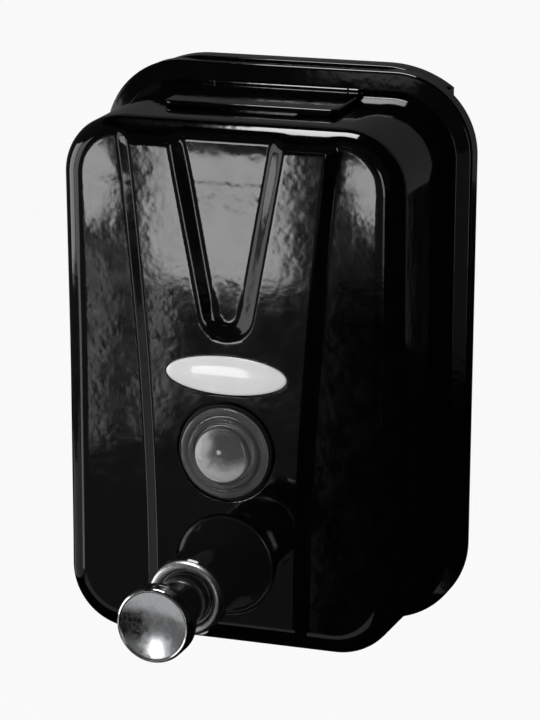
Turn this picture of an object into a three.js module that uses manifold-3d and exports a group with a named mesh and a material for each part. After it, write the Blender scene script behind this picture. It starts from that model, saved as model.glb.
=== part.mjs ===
// Wall-mounted soap dispenser of pressed, coated sheet steel, with a push pump, a hinged
// filling lid and a sight window.
// Millimetres, +Z up. The wall is the plane y = 0 and the front looks along -Y, so
// "depth" below is the distance forward from the wall and "proud" is the distance
// forward from the raised front face. The origin is the middle of the wall face.

import * as THREE from 'three';
import { mergeVertices } from 'three/addons/utils/BufferGeometryUtils.js';
import Module from 'manifold-3d';

const wasm = await Module();
wasm.setup();

// Driving dimensions shared by all pieces

const gap = 0.3; // left between pieces that touch
const overrun = 3; // how far a cutter passes the face that it cuts
const roundSides = 44; // sides of a round piece that shows
const hiddenSides = 30; // sides of a round piece inside
const smallSides = 14; // sides of small bores, rods and the hinge
const boreSides = 8; // sides of the finest bores and of the nuts' notches

const body = {
  faceDepth: 74, // raised front face
  padRise: 1.8, // raised face above the recessed panels
  padStart: 1, // how far ahead of the straight walls the raised face begins
  edgeRadius: 7, // front edge, on the recessed panels
  wall: 1, // sheet
  front: { halfWidth: 56.9, top: 83.5, bottom: -90.6, topRadius: 20, bottomRadius: 21 },
  rear: { halfWidth: 57.2, top: 85, bottom: -91.3, topRadius: 20, bottomRadius: 21 },
};

// The upper front leans forward, and the front widens a little towards its top
const swell = {
  leanStart: -7, // height where the lean starts
  leanSettled: 13, // and where it has its full slope
  leanSlope: 0.0275,
  rows: [-7, 3, 13, 40], // heights at which the bent faces are split
  wideStart: -60,
  wideSlope: 0.0055, // half width gained per height
};

const flange = {
  foldDepth: 21, // where the side walls start to turn outwards
  rimDepth: 14.5, // where the rim runs straight back
  backDepth: 9.5, // open back edge
  outline: { halfWidth: 64.5, top: 93.7, bottom: -94.6, topRadius: 27.4, bottomRadius: 28 },
  outShares: [0.03, 0.12, 0.38, 0.8, 0.93, 0.985],
  backShares: [0.17, 0.31, 0.43, 0.63, 0.74, 0.88],
};

const pad = {
  rampWidth: 3.9, // sloped border between the two levels
  sideTop: 33.6, // half width of the raised face at its top
  sideBottom: 24, // and at its bottom
  sideTopHeight: 84,
  sideBendHeight: -8,
  sideBottomHeight: -70,
  valleyTop: 19.6, // half width of the central panel at its top
  valleyTopHeight: 78.6,
  valleyRadius: 10.2, // round lower end of the central panel
  valleyCentreHeight: 23.6,
};

const cover = { thickness: 1 };

const hook = { x: 24, height: 36, halfWidth: 9, lip: 9, thickness: 1.5 };

const plate = {
  thickness: 1.5,
  outline: { halfWidth: 69.4, top: 94.6, bottom: -90, topRadius: 38, bottomRadius: 38 },
  halfWidth: 53.7, // its sides are trimmed straight
  screwX: 36,
  screwHeight: 62,
  screwRadius: 2.4,
  sinkRadius: 4.2,
  sinkDepth: 1.1,
};

const fill = { halfWidth: 20, near: 28, far: 48.5, cornerRadius: 4 };

const hinge = {
  depth: 20.4,
  height: 1.8, // above the top wall
  barrelRadius: 1.5,
  pinRadius: 0.7,
  boreRadius: 0.95,
  halfWidth: 23,
  lugWidth: 3.5,
  leafThickness: 1.2,
};

const lid = {
  halfWidth: 29.5,
  near: 2.6, // from the hinge axis
  far: 33.1,
  thickness: 2,
  edgeRadius: 0.8,
  frontCorner: 3.2,
  rearCorner: 1.2,
  recessDepth: 1,
  rim: 1.8,
  gasketWidth: 2.2,
  gasketThickness: 0.6,
};

const badge = {
  height: 1.5,
  halfLength: 20.5,
  halfHeight: 6.35,
  proud: 1.2,
  recess: 0.5,
  // share of the half size, and share of the height above the raised face
  crownShares: [[1, 0.35], [0.94, 0.65], [0.78, 0.88], [0.4, 0.98], [0, 1]],
};

const sight = {
  height: -24,
  holeRadius: 12.3,
  seatRadius: 16.6,
  seatDepth: 1,
  gasketRadius: 16,
  gasketThickness: 1.3,
  rimRadius: 15,
  rimProud: 2.5,
  stepRadius: 11.3,
  stepProud: 4.1,
  discRadius: 8.8,
  discProud: 5.6,
  edgeRadius: 0.5,
  edgeFallShare: 0.3, // how far the disc's edge falls, of its edge radius
  tubeRadius: 12,
  tubeBore: 10.3,
  tubeLength: 11,
  glassThickness: 1.7,
  nutRadius: 16.4,
  nutThickness: 4.5,
};

const pump = {
  height: -62,
  holeRadius: 12.3,
  seatRadius: 16.9,
  seatDepth: 0.8,
  flangeRadius: 16.4,
  flangeEdge: 0.7, // proud of the raised face
  edgeRadius: 0.3,
  rootRadius: 15.7, // where the flare leaves the flange
  sleeveRadius: 12.55,
  lipRadius: 12.95,
  lipLength: 2,
  flareLength: 20.5,
  sleeveLength: 36.5,
  tailRadius: 12,
  tailLength: 13,
  bore: 9.4,
  guideBore: 10.4,
  guideLength: 7.8,
  gasketThickness: 1.3,
  gasketRadius: 16,
  nutRadius: 17,
  nutThickness: 5,
};

const ring = { radius: 11.9, thickness: 2.1, innerRadius: 9.1, edgeRadius: 0.6 };

const plunger = {
  travel: 16,
  stemRadius: 8.4,
  knobRadius: 11.9,
  knobProud: 66.2,
  knobThickness: 4.4,
  domeRise: 0.6,
  domeShares: [[0, 0], [0.3, 0], [0.58, 0.3], [0.82, 0.8]], // of the radius and of the rise
  rollRadius: 0.7,
  rollShares: [[2, 0], [1, -0.15], [0.3, 0.25], [0, 1]], // of the roll's radius: in, and back
  collarThickness: 2.5,
  spigotRadius: 3.7,
  spigotLength: 4.7,
  pistonProud: 20, // back of the piston at rest
  pistonRadius: 9.1,
  pistonLength: 4,
  tangRadius: 4,
  tangLength: 3,
  sealWidth: 1.2,
  sealDepth: 0.7,
  sealRunning: 0.15, // running clearance of the seal in the bore
};

const guide = { running: 0.25 };

const spring = { radius: 6, wireRadius: 0.55, turns: 8, stepsPerTurn: 8, wireSides: 5 };

const valve = {
  plugRadius: 9.1,
  plugLength: 3,
  flangeThickness: 2.2,
  neckRadius: 5.4,
  standRadius: 5.2,
  standBack: 20, // axis of the stand, behind the raised face
  standTop: 7, // above the pump axis
  standBottom: 14, // below the pump axis
  portRadius: 2.4,
  chamberRadius: 2.9,
  chamberTop: 1.2,
  seatBelow: 5.4,
  seatRadius: 1.6,
  seatThickness: 2.2,
  ballRadius: 2.4,
  tubeRadius: 3,
  tubeBore: 2,
  tubeFoot: 24, // below the pump axis
};

const outlet = {
  proud: 24,
  radius: 2.6,
  bore: 1.9,
  throat: 1,
  throatLength: 1.4,
  floor: 10.5, // from the pump axis
  tip: 15.6, // from the pump axis
  ductRadius: 0.9,
  ductOffset: 11,
  ductStart: 4,
  flapRadius: 1.55,
  flapLength: 2.9,
  flapSlit: 0.35,
  flapTipShare: 0.6, // of its radius
};

// Placing: depth from the wall, and proud of the raised face

const proudToDepth = (proud) => body.faceDepth + proud;
const baseDepth = body.faceDepth - body.padRise;
const innerFrontDepth = baseDepth - body.wall;
const innerFrontProud = innerFrontDepth - body.faceDepth;
const wallDepth = baseDepth - body.edgeRadius;

// Solids from geometry, and geometry from solids

function signedVolume(positions, triangles) {
  const a = new THREE.Vector3();
  const b = new THREE.Vector3();
  const c = new THREE.Vector3();
  let sum = 0;
  for (let i = 0; i < triangles.length; i += 3) {
    a.fromArray(positions, triangles[i] * 3);
    b.fromArray(positions, triangles[i + 1] * 3);
    c.fromArray(positions, triangles[i + 2] * 3);
    sum += a.dot(b.cross(c));
  }
  return sum;
}

function solid(geometry) {
  const bare = geometry.clone();
  bare.deleteAttribute('normal');
  bare.deleteAttribute('uv');
  const merged = mergeVertices(bare);
  const positions = merged.attributes.position.array;
  const triangles = [];
  for (let i = 0; i < merged.index.count; i += 3) {
    const corners = [0, 1, 2].map((k) => merged.index.getX(i + k));
    if (new Set(corners).size === corners.length) {
      triangles.push(...corners);
    }
  }
  if (signedVolume(positions, triangles) < 0) {
    triangles.reverse();
  }
  const mesh = new wasm.Mesh({
    numProp: 3,
    vertProperties: new Float32Array(positions),
    triVerts: new Uint32Array(triangles),
  });
  return new wasm.Manifold(mesh);
}

function geometryOf(manifold) {
  const mesh = manifold.getMesh();
  const geometry = new THREE.BufferGeometry();
  const positions = new Float32Array(mesh.vertProperties);
  geometry.setAttribute('position', new THREE.BufferAttribute(positions, 3));
  geometry.setIndex(new THREE.BufferAttribute(new Uint32Array(mesh.triVerts), 1));
  return geometry;
}

const joined = (first, ...rest) => rest.reduce((sum, next) => sum.add(solid(next)), solid(first));
const union = (...geometries) => geometryOf(joined(...geometries));
const cut = (geometry, ...cutters) => geometryOf(solid(geometry).subtract(joined(...cutters)));
const common = (first, second) => geometryOf(solid(first).intersect(solid(second)));

// Plain shapes in the part's frame

function alongDepth(radius, backDepth, frontDepth, x, z, sides = hiddenSides) {
  const rod = new THREE.CylinderGeometry(radius, radius, frontDepth - backDepth, sides);
  return rod.translate(x, -(frontDepth + backDepth) / 2, z);
}

function alongWidth(radius, fromX, toX, depth, z, sides = smallSides) {
  const rod = new THREE.CylinderGeometry(radius, radius, toX - fromX, sides);
  return rod.rotateZ(Math.PI / 2).translate((fromX + toX) / 2, -depth, z);
}

function alongHeight(radius, bottom, top, x, depth, sides = smallSides) {
  const rod = new THREE.CylinderGeometry(radius, radius, top - bottom, sides);
  return rod.rotateX(Math.PI / 2).translate(x, -depth, (top + bottom) / 2);
}

function block(fromX, toX, backDepth, frontDepth, bottom, top) {
  const box = new THREE.BoxGeometry(toX - fromX, frontDepth - backDepth, top - bottom);
  return box.translate((fromX + toX) / 2, -(frontDepth + backDepth) / 2, (top + bottom) / 2);
}

// A turned piece on an axis along the depth; its profile is pairs of radius and proud
function turned(profile, z, sides = roundSides) {
  const points = profile.map(([radius, proud]) => new THREE.Vector2(radius, proud));
  if (profile[0][0] > 0) {
    points.push(points[0].clone());
  }
  const geometry = new THREE.LatheGeometry(points, sides);
  return geometry.rotateX(Math.PI).translate(0, -body.faceDepth, z);
}

// A turned piece on an upright axis; its profile is pairs of radius and height
function turnedUpright(profile, depth, sides = smallSides) {
  const points = profile.map(([radius, height]) => new THREE.Vector2(radius, height));
  if (profile[0][0] > 0) {
    points.push(points[0].clone());
  }
  const geometry = new THREE.LatheGeometry(points, sides);
  return geometry.rotateX(Math.PI / 2).translate(0, -depth, 0);
}

const tubeProfile = (outer, inner, from, to) => [[inner, from], [outer, from], [outer, to], [inner, to]];

// Rounded outlines and lofts between them

const cornerSteps = 7;

function insetOutline(outline, inset) {
  return {
    halfWidth: outline.halfWidth - inset,
    top: outline.top - inset,
    bottom: outline.bottom + inset,
    topRadius: outline.topRadius - inset,
    bottomRadius: outline.bottomRadius - inset,
  };
}

function mixOutline(from, to, share) {
  const mixed = {};
  for (const key of Object.keys(from)) {
    mixed[key] = THREE.MathUtils.lerp(from[key], to[key], share);
  }
  return mixed;
}

function outlinePoints(outline) {
  const corners = [
    { side: 1, z: outline.top - outline.topRadius, radius: outline.topRadius, turn: 0 },
    { side: -1, z: outline.top - outline.topRadius, radius: outline.topRadius, turn: 1 },
    { side: -1, z: outline.bottom + outline.bottomRadius, radius: outline.bottomRadius, turn: 2 },
    { side: 1, z: outline.bottom + outline.bottomRadius, radius: outline.bottomRadius, turn: 3 },
  ];
  const points = [];
  for (const corner of corners) {
    const centreX = corner.side * (outline.halfWidth - corner.radius);
    for (let step = 0; step <= cornerSteps; step += 1) {
      const angle = (corner.turn + step / cornerSteps) * (Math.PI / 2);
      const x = centreX + corner.radius * Math.cos(angle);
      points.push([x, corner.z + corner.radius * Math.sin(angle)]);
    }
  }
  return points;
}

// Skins rings of outlines, front to back, into one closed solid
function loft(rings) {
  const positions = [];
  const triangles = [];
  const outlines = rings.map((ring) => outlinePoints(ring.outline));
  const count = outlines[0].length;
  outlines.forEach((points, index) => {
    points.forEach(([x, z]) => positions.push(x, -rings[index].depth, z));
  });
  for (let ring = 0; ring + 1 < rings.length; ring += 1) {
    for (let i = 0; i < count; i += 1) {
      const next = (i + 1) % count;
      const [a, b] = [ring * count + i, ring * count + next];
      triangles.push(a, b, b + count, a, b + count, a + count);
    }
  }
  for (const [ring, isBack] of [[0, false], [rings.length - 1, true]]) {
    const { outline, depth } = rings[ring];
    const centre = positions.length / 3;
    positions.push(0, -depth, (outline.top + outline.bottom) / 2);
    for (let i = 0; i < count; i += 1) {
      const [a, b] = [ring * count + i, ring * count + ((i + 1) % count)];
      triangles.push(...(isBack ? [centre, a, b] : [centre, b, a]));
    }
  }
  const geometry = new THREE.BufferGeometry();
  geometry.setAttribute('position', new THREE.Float32BufferAttribute(positions, 3));
  geometry.setIndex(triangles);
  return geometry;
}

// A flat slab of an outline
function slab(outline, backDepth, frontDepth) {
  return loft([{ outline, depth: frontDepth }, { outline, depth: backDepth }]);
}

// Splits the triangles that cross a height, so that a bend there keeps its faces flat
function splitAt(geometry, height) {
  const place = geometry.getAttribute('position');
  const positions = Array.from(place.array);
  const heights = Array.from({ length: place.count }, (_, i) => place.getZ(i) - height);
  const near = 1e-3;
  const middles = new Map();
  const middle = (from, to) => {
    const [low, high] = from < to ? [from, to] : [to, from];
    const key = `${low} ${high}`;
    if (!middles.has(key)) {
      const share = heights[low] / (heights[low] - heights[high]);
      for (const axis of [0, 1, 2]) {
        const [start, end] = [positions[low * 3 + axis], positions[high * 3 + axis]];
        positions.push(start + share * (end - start));
      }
      heights.push(0);
      middles.set(key, heights.length - 1);
    }
    return middles.get(key);
  };
  const triangles = [];
  for (let i = 0; i < geometry.index.count; i += 3) {
    const corners = [0, 1, 2].map((k) => geometry.index.getX(i + k));
    const round = [];
    corners.forEach((corner, k) => {
      const next = corners[(k + 1) % 3];
      round.push(corner);
      const crosses = heights[corner] * heights[next] < 0;
      if (crosses && Math.min(Math.abs(heights[corner]), Math.abs(heights[next])) > near) {
        round.push(middle(corner, next));
      }
    });
    const first = round.findIndex((corner) => !corners.includes(corner));
    const turnedRound = first < 0 ? round : [...round.slice(first), ...round.slice(0, first)];
    for (let k = 1; k + 1 < turnedRound.length; k += 1) {
      triangles.push(turnedRound[0], turnedRound[k], turnedRound[k + 1]);
    }
  }
  const split = new THREE.BufferGeometry();
  split.setAttribute('position', new THREE.Float32BufferAttribute(positions, 3));
  split.setIndex(triangles);
  return split;
}

function leanAt(z) {
  const { leanStart, leanSettled, leanSlope } = swell;
  if (z < leanSettled) {
    const above = Math.max(0, z - leanStart);
    return (leanSlope * above * above) / (2 * (leanSettled - leanStart));
  }
  return leanSlope * (z - (leanStart + leanSettled) / 2);
}

// Bends the front of the housing forward and outward, the more the further up
function swelled(geometry) {
  const bent = swell.rows.reduce(splitAt, geometry);
  const place = bent.getAttribute('position');
  for (let i = 0; i < place.count; i += 1) {
    const [x, depth, z] = [place.getX(i), -place.getY(i), place.getZ(i)];
    const way = (depth - flange.foldDepth) / (wallDepth - flange.foldDepth);
    const share = THREE.MathUtils.clamp(way, 0, 1);
    const wider = swell.wideSlope * Math.max(0, z - swell.wideStart);
    place.setX(i, x * (1 + (share * wider) / body.front.halfWidth));
    place.setY(i, -depth - share * leanAt(z));
  }
  return bent;
}

// Rings that round a front edge of the given radius
const edgeSteps = 5;

function roundedFront(outline, frontDepth, radius, steps = edgeSteps) {
  const rings = [];
  for (let step = 0; step <= steps; step += 1) {
    const angle = (step / steps) * (Math.PI / 2);
    const inset = radius * (1 - Math.sin(angle));
    const depth = frontDepth - radius * (1 - Math.cos(angle));
    rings.push({ outline: insetOutline(outline, inset), depth });
  }
  return rings;
}

// Housing

const flangeRings = flange.outShares.map((share, index) => ({
  outline: mixOutline(body.rear, flange.outline, share),
  depth: THREE.MathUtils.lerp(flange.foldDepth, flange.rimDepth, flange.backShares[index]),
}));

const topSlope = (body.rear.top - body.front.top) / (wallDepth - flange.foldDepth);
const topAngle = Math.atan(topSlope);
const topWallAt = (depth) => body.rear.top - topSlope * (depth - flange.foldDepth);

function outerBody(frontDepth, edgeRadius, steps) {
  return loft([
    ...roundedFront(body.front, frontDepth, edgeRadius, steps),
    { outline: body.rear, depth: flange.foldDepth },
    ...flangeRings,
    { outline: flange.outline, depth: flange.rimDepth },
    { outline: flange.outline, depth: flange.backDepth },
  ]);
}

function cavity() {
  const inner = (outline) => insetOutline(outline, body.wall);
  const innerEdge = body.edgeRadius - body.wall;
  return loft([
    ...roundedFront(inner(body.front), innerFrontDepth, innerEdge),
    { outline: inner(body.rear), depth: flange.foldDepth - body.wall },
    ...flangeRings.map(({ outline, depth }) => ({
      outline: inner(outline),
      depth: depth - body.wall,
    })),
    { outline: inner(flange.outline), depth: flange.rimDepth - body.wall },
    { outline: inner(flange.outline), depth: flange.backDepth - overrun },
  ]);
}

// The raised face: two strips beside the central panel, which join below it
function padOutline() {
  const shape = new THREE.Shape();
  const low = body.front.bottom - overrun;
  const high = body.rear.top + overrun;
  const lean = (pad.sideTop - pad.sideBottom) / (pad.sideTopHeight - pad.sideBendHeight);
  const topX = pad.sideTop + lean * (high - pad.sideTopHeight);
  const valleyLean =
    (pad.valleyTop - pad.valleyRadius) / (pad.valleyTopHeight - pad.valleyCentreHeight);
  const valleyX = pad.valleyTop + valleyLean * (high - pad.valleyTopHeight);
  shape.moveTo(-pad.sideBottom, low);
  shape.lineTo(pad.sideBottom, low);
  shape.lineTo(pad.sideBottom, pad.sideBottomHeight);
  shape.quadraticCurveTo(pad.sideBottom, pad.sideBendHeight, topX, high);
  shape.lineTo(valleyX, high);
  shape.lineTo(pad.valleyRadius, pad.valleyCentreHeight);
  shape.absarc(0, pad.valleyCentreHeight, pad.valleyRadius, 0, Math.PI, true);
  shape.lineTo(-valleyX, high);
  shape.lineTo(-topX, high);
  shape.quadraticCurveTo(-pad.sideBottom, pad.sideBendHeight, -pad.sideBottom, pad.sideBottomHeight);
  return shape;
}

function raisedPad() {
  const start = wallDepth + body.padStart + body.padRise;
  const prism = new THREE.ExtrudeGeometry(padOutline(), {
    depth: baseDepth - start,
    curveSegments: 10,
    bevelEnabled: true,
    bevelThickness: body.padRise,
    bevelSize: pad.rampWidth,
    bevelSegments: 1,
  });
  prism.rotateX(Math.PI / 2).translate(0, -start, 0);
  const raisedRadius = body.edgeRadius + body.padRise;
  return common(prism, outerBody(body.faceDepth, raisedRadius, edgeSteps + 1));
}

function fillHole() {
  const shape = new THREE.Shape();
  roundedRectangle(shape, fill.halfWidth, fill.near, fill.far, fill.cornerRadius, fill.cornerRadius);
  const hole = new THREE.ExtrudeGeometry(shape, {
    depth: body.wall + overrun + overrun,
    bevelEnabled: false,
    curveSegments: 4,
  });
  return hole.translate(0, 0, body.front.top - body.wall - overrun);
}

// A plan outline from x = -halfWidth to halfWidth and from one depth to another
function roundedRectangle(shape, halfWidth, near, far, nearRadius, farRadius) {
  shape.moveTo(-halfWidth + nearRadius, -near);
  shape.absarc(-halfWidth + nearRadius, -near - nearRadius, nearRadius, Math.PI / 2, Math.PI, false);
  shape.absarc(-halfWidth + farRadius, -far + farRadius, farRadius, Math.PI, Math.PI * 1.5, false);
  shape.absarc(halfWidth - farRadius, -far + farRadius, farRadius, -Math.PI / 2, 0, false);
  shape.absarc(halfWidth - nearRadius, -near - nearRadius, nearRadius, 0, Math.PI / 2, false);
  shape.closePath();
}

const hingeHeight = topWallAt(hinge.depth) + hinge.height * Math.cos(topAngle);
const hingeDepth = hinge.depth + hinge.height * Math.sin(topAngle);

function hingeLugs() {
  const lugs = [];
  const inside = hinge.halfWidth + gap;
  const outside = inside + hinge.lugWidth;
  const root = topWallAt(hingeDepth) - body.wall / 2;
  for (const [from, to] of [[inside, outside], [-outside, -inside]]) {
    const front = hingeDepth + hinge.barrelRadius;
    const back = flange.foldDepth - hinge.lugWidth;
    lugs.push(alongWidth(hinge.barrelRadius, from, to, hingeDepth, hingeHeight));
    lugs.push(block(from, to, back, front, root, hingeHeight));
  }
  return lugs;
}

function badgeOval(halfLength, halfHeight, profile) {
  const oval = new THREE.LatheGeometry(
    profile.map(([share, proud]) => new THREE.Vector2(share, proud)),
    roundSides,
  );
  oval.rotateX(Math.PI).scale(halfLength, 1, halfHeight);
  return oval.translate(0, -body.faceDepth, badge.height);
}

function housing() {
  const shell = swelled(union(outerBody(baseDepth, body.edgeRadius), raisedPad()));
  const hollow = cut(shell, swelled(cavity()));
  const front = proudToDepth(overrun);
  const withLugs = union(hollow, ...hingeLugs());
  const holeStart = innerFrontDepth - overrun;
  const seat = (radius, depth, z) =>
    alongDepth(radius, body.faceDepth - depth, front, 0, z, roundSides);
  const badgeCut = [[0, -badge.recess], [1, -badge.recess], [1, overrun], [0, overrun]];
  const pinEnd = hinge.halfWidth + hinge.lugWidth;
  return cut(
    withLugs,
    alongDepth(sight.holeRadius, holeStart, front, 0, sight.height, roundSides),
    seat(sight.seatRadius, sight.seatDepth, sight.height),
    alongDepth(pump.holeRadius, holeStart, front, 0, pump.height, roundSides),
    seat(pump.seatRadius, pump.seatDepth, pump.height),
    badgeOval(badge.halfLength + gap, badge.halfHeight + gap, badgeCut),
    fillHole(),
    alongWidth(
      hinge.barrelRadius + gap,
      -hinge.halfWidth - gap,
      hinge.halfWidth + gap,
      hingeDepth,
      hingeHeight,
    ),
    alongWidth(hinge.boreRadius, -pinEnd, pinEnd, hingeDepth, hingeHeight),
  );
}

// Back of the tank, welded into the rim, with two hooks that hang in the wall plate

const coverFront = flange.rimDepth - body.wall - gap;
const coverBack = coverFront - cover.thickness;
const stemLength = hook.thickness + gap + gap;
const hookSides = [-1, 1].map((side) => [
  side * hook.x - hook.halfWidth,
  side * hook.x + hook.halfWidth,
]);

function rearCover() {
  const lipFront = coverBack - stemLength;
  const lipBack = lipFront - hook.thickness;
  const middle = hook.height + hook.thickness;
  const bottom = hook.height - hook.lip / 2;
  const sheet = slab(insetOutline(flange.outline, body.wall + gap), coverBack, coverFront);
  const hooks = hookSides.flatMap(([left, right]) => [
    block(left, right, lipFront, coverBack + cover.thickness / 2, hook.height, middle),
    block(left, right, lipBack, lipFront, bottom, middle),
  ]);
  return union(sheet, ...hooks);
}

// Plate that is screwed to the wall, with two brackets for the cover's hooks
function wallPlate() {
  const front = flange.backDepth - gap;
  const inner = insetOutline(plate.outline, plate.thickness);
  const trimmed = (sheet, halfWidth) => {
    const bottom = plate.outline.bottom - overrun;
    const top = plate.outline.top + overrun;
    return common(sheet, block(-halfWidth, halfWidth, -overrun, front + 2 * overrun, bottom, top));
  };
  const tray = cut(
    trimmed(slab(plate.outline, 0, front), plate.halfWidth),
    trimmed(slab(inner, plate.thickness, front + overrun), plate.halfWidth - plate.thickness),
  );
  const lipFront = coverBack - gap;
  const lipBack = lipFront - hook.thickness;
  const shelfTop = hook.height - hook.lip / 2 - gap;
  const shelfBottom = shelfTop - hook.thickness;
  const brackets = hookSides.flatMap(([left, right]) => [
    block(left, right, plate.thickness / 2, lipFront, shelfBottom, shelfTop),
    block(left, right, lipBack, lipFront, shelfBottom, hook.height - gap),
  ]);
  const places = [-1, 1].flatMap((side) =>
    [-1, 1].map((end) => [side * plate.screwX, end * plate.screwHeight]),
  );
  const holes = places.flatMap(([x, z]) => {
    const height = plate.sinkDepth + gap;
    const sink = new THREE.CylinderGeometry(
      plate.screwRadius,
      plate.sinkRadius,
      height,
      hiddenSides,
    );
    sink.translate(x, height / 2 - plate.thickness - gap, z);
    return [alongDepth(plate.screwRadius, -overrun, plate.thickness + overrun, x, z), sink];
  });
  return cut(union(tray, ...brackets), ...holes);
}

// Lid, made level on the hinge's foot and then laid on the sloping top wall

function onTopWall(geometry) {
  return geometry.rotateX(topAngle).translate(0, -hinge.depth, topWallAt(hinge.depth));
}

function planRing(outerHalf, innerHalf, outerNear, outerFar, margin, radius, thickness) {
  const shape = new THREE.Shape();
  roundedRectangle(shape, outerHalf, outerNear, outerFar, radius, radius);
  const hole = new THREE.Path();
  roundedRectangle(hole, innerHalf, outerNear + margin, outerFar - margin, radius / 2, radius / 2);
  shape.holes.push(hole);
  return new THREE.ExtrudeGeometry(shape, {
    depth: thickness,
    bevelEnabled: false,
    curveSegments: 3,
  });
}

function lidPlate() {
  const shape = new THREE.Shape();
  const inset = lid.edgeRadius;
  roundedRectangle(
    shape,
    lid.halfWidth - inset,
    lid.near + inset,
    lid.far - inset,
    lid.rearCorner - inset,
    lid.frontCorner - inset,
  );
  const sheet = new THREE.ExtrudeGeometry(shape, {
    depth: lid.thickness - inset - inset,
    curveSegments: 4,
    bevelEnabled: true,
    bevelThickness: inset,
    bevelSize: inset,
    bevelSegments: 3,
  });
  sheet.translate(0, 0, gap + inset);
  const recess = block(
    -lid.halfWidth + lid.rim,
    lid.halfWidth - lid.rim,
    lid.near + lid.rim,
    lid.far - lid.rim,
    -overrun,
    gap + lid.recessDepth,
  );
  const leafBottom = hinge.height - hinge.leafThickness;
  const leaf = block(
    -hinge.halfWidth,
    hinge.halfWidth,
    0,
    lid.near + lid.rim / 2,
    leafBottom,
    hinge.height,
  );
  const barrel = alongWidth(hinge.barrelRadius, -hinge.halfWidth, hinge.halfWidth, 0, hinge.height);
  const bore = alongWidth(
    hinge.boreRadius,
    -hinge.halfWidth - overrun,
    hinge.halfWidth + overrun,
    0,
    hinge.height,
  );
  return onTopWall(cut(union(sheet, leaf, barrel), bore, recess));
}

function lidGasket() {
  const near = fill.near - hinge.depth - lid.gasketWidth;
  const far = fill.far - hinge.depth + lid.gasketWidth;
  const frame = planRing(
    fill.halfWidth + gap + lid.gasketWidth,
    fill.halfWidth + gap,
    near,
    far,
    lid.gasketWidth - gap,
    fill.cornerRadius,
    lid.gasketThickness,
  );
  return onTopWall(frame.translate(0, 0, gap));
}

const hingePin = () => {
  const end = hinge.halfWidth + hinge.lugWidth - gap;
  return alongWidth(hinge.pinRadius, -end, end, hingeDepth, hingeHeight);
};

// Badge

function badgePlate() {
  const back = gap - badge.recess;
  return badgeOval(badge.halfLength, badge.halfHeight, [
    [0, back],
    [1, back],
    ...badge.crownShares.map(([sizeShare, heightShare]) => [sizeShare, badge.proud * heightShare]),
  ]);
}

// Sight window

const sightGasketBack = gap - sight.seatDepth;
const sightRimBack = sightGasketBack + sight.gasketThickness + gap;

function sightLens() {
  const edge = sight.edgeRadius;
  const back = sightRimBack - sight.tubeLength;
  const glassBack = sight.discProud - sight.glassThickness;
  return turned(
    [
      [0, sight.discProud],
      [sight.discRadius - edge, sight.discProud - edge * sight.edgeFallShare],
      [sight.discRadius, sight.discProud - edge],
      [sight.discRadius + edge, sight.stepProud + edge],
      [sight.stepRadius - edge, sight.stepProud],
      [sight.stepRadius, sight.stepProud - edge],
      [sight.stepRadius + edge, sight.rimProud + edge],
      [sight.rimRadius - edge, sight.rimProud],
      [sight.rimRadius, sight.rimProud - edge],
      [sight.rimRadius, sightRimBack],
      [sight.tubeRadius, sightRimBack],
      [sight.tubeRadius, back],
      [sight.tubeBore, back],
      [sight.tubeBore, sightRimBack],
      [sight.discRadius - edge, glassBack],
      [0, glassBack],
    ],
    sight.height,
  );
}

const sightGasket = () =>
  turned(
    tubeProfile(
      sight.gasketRadius,
      sight.holeRadius,
      sightGasketBack,
      sightGasketBack + sight.gasketThickness,
    ),
    sight.height,
  );

function castleNut(radius, bore, backProud, frontProud, height) {
  const notches = 6;
  const outer = alongDepth(radius, proudToDepth(backProud), proudToDepth(frontProud), 0, height);
  const inner = alongDepth(
    bore,
    proudToDepth(backProud) - overrun,
    proudToDepth(frontProud) + overrun,
    0,
    height,
    hiddenSides,
  );
  const cutters = [];
  for (let i = 0; i < notches; i += 1) {
    const angle = (i / notches) * Math.PI * 2;
    const [x, z] = [radius * Math.cos(angle), height + radius * Math.sin(angle)];
    const middle = (proudToDepth(backProud) + proudToDepth(frontProud)) / 2;
    const notchBack = proudToDepth(backProud) - overrun;
    cutters.push(alongDepth((radius - bore) / 2, notchBack, middle, x, z, boreSides));
  }
  return cut(outer, inner, ...cutters);
}

const sightNut = () => {
  const front = innerFrontProud - gap;
  return castleNut(
    sight.nutRadius,
    sight.tubeRadius + gap,
    front - sight.nutThickness,
    front,
    sight.height,
  );
};

// Pump: sleeve, what seals it in the front wall, and the ring on its end

const pumpFlangeBack = gap - pump.seatDepth;
const pumpTailEnd = pumpFlangeBack - pump.tailLength;
const guideStart = pump.sleeveLength - pump.guideLength;

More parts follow.
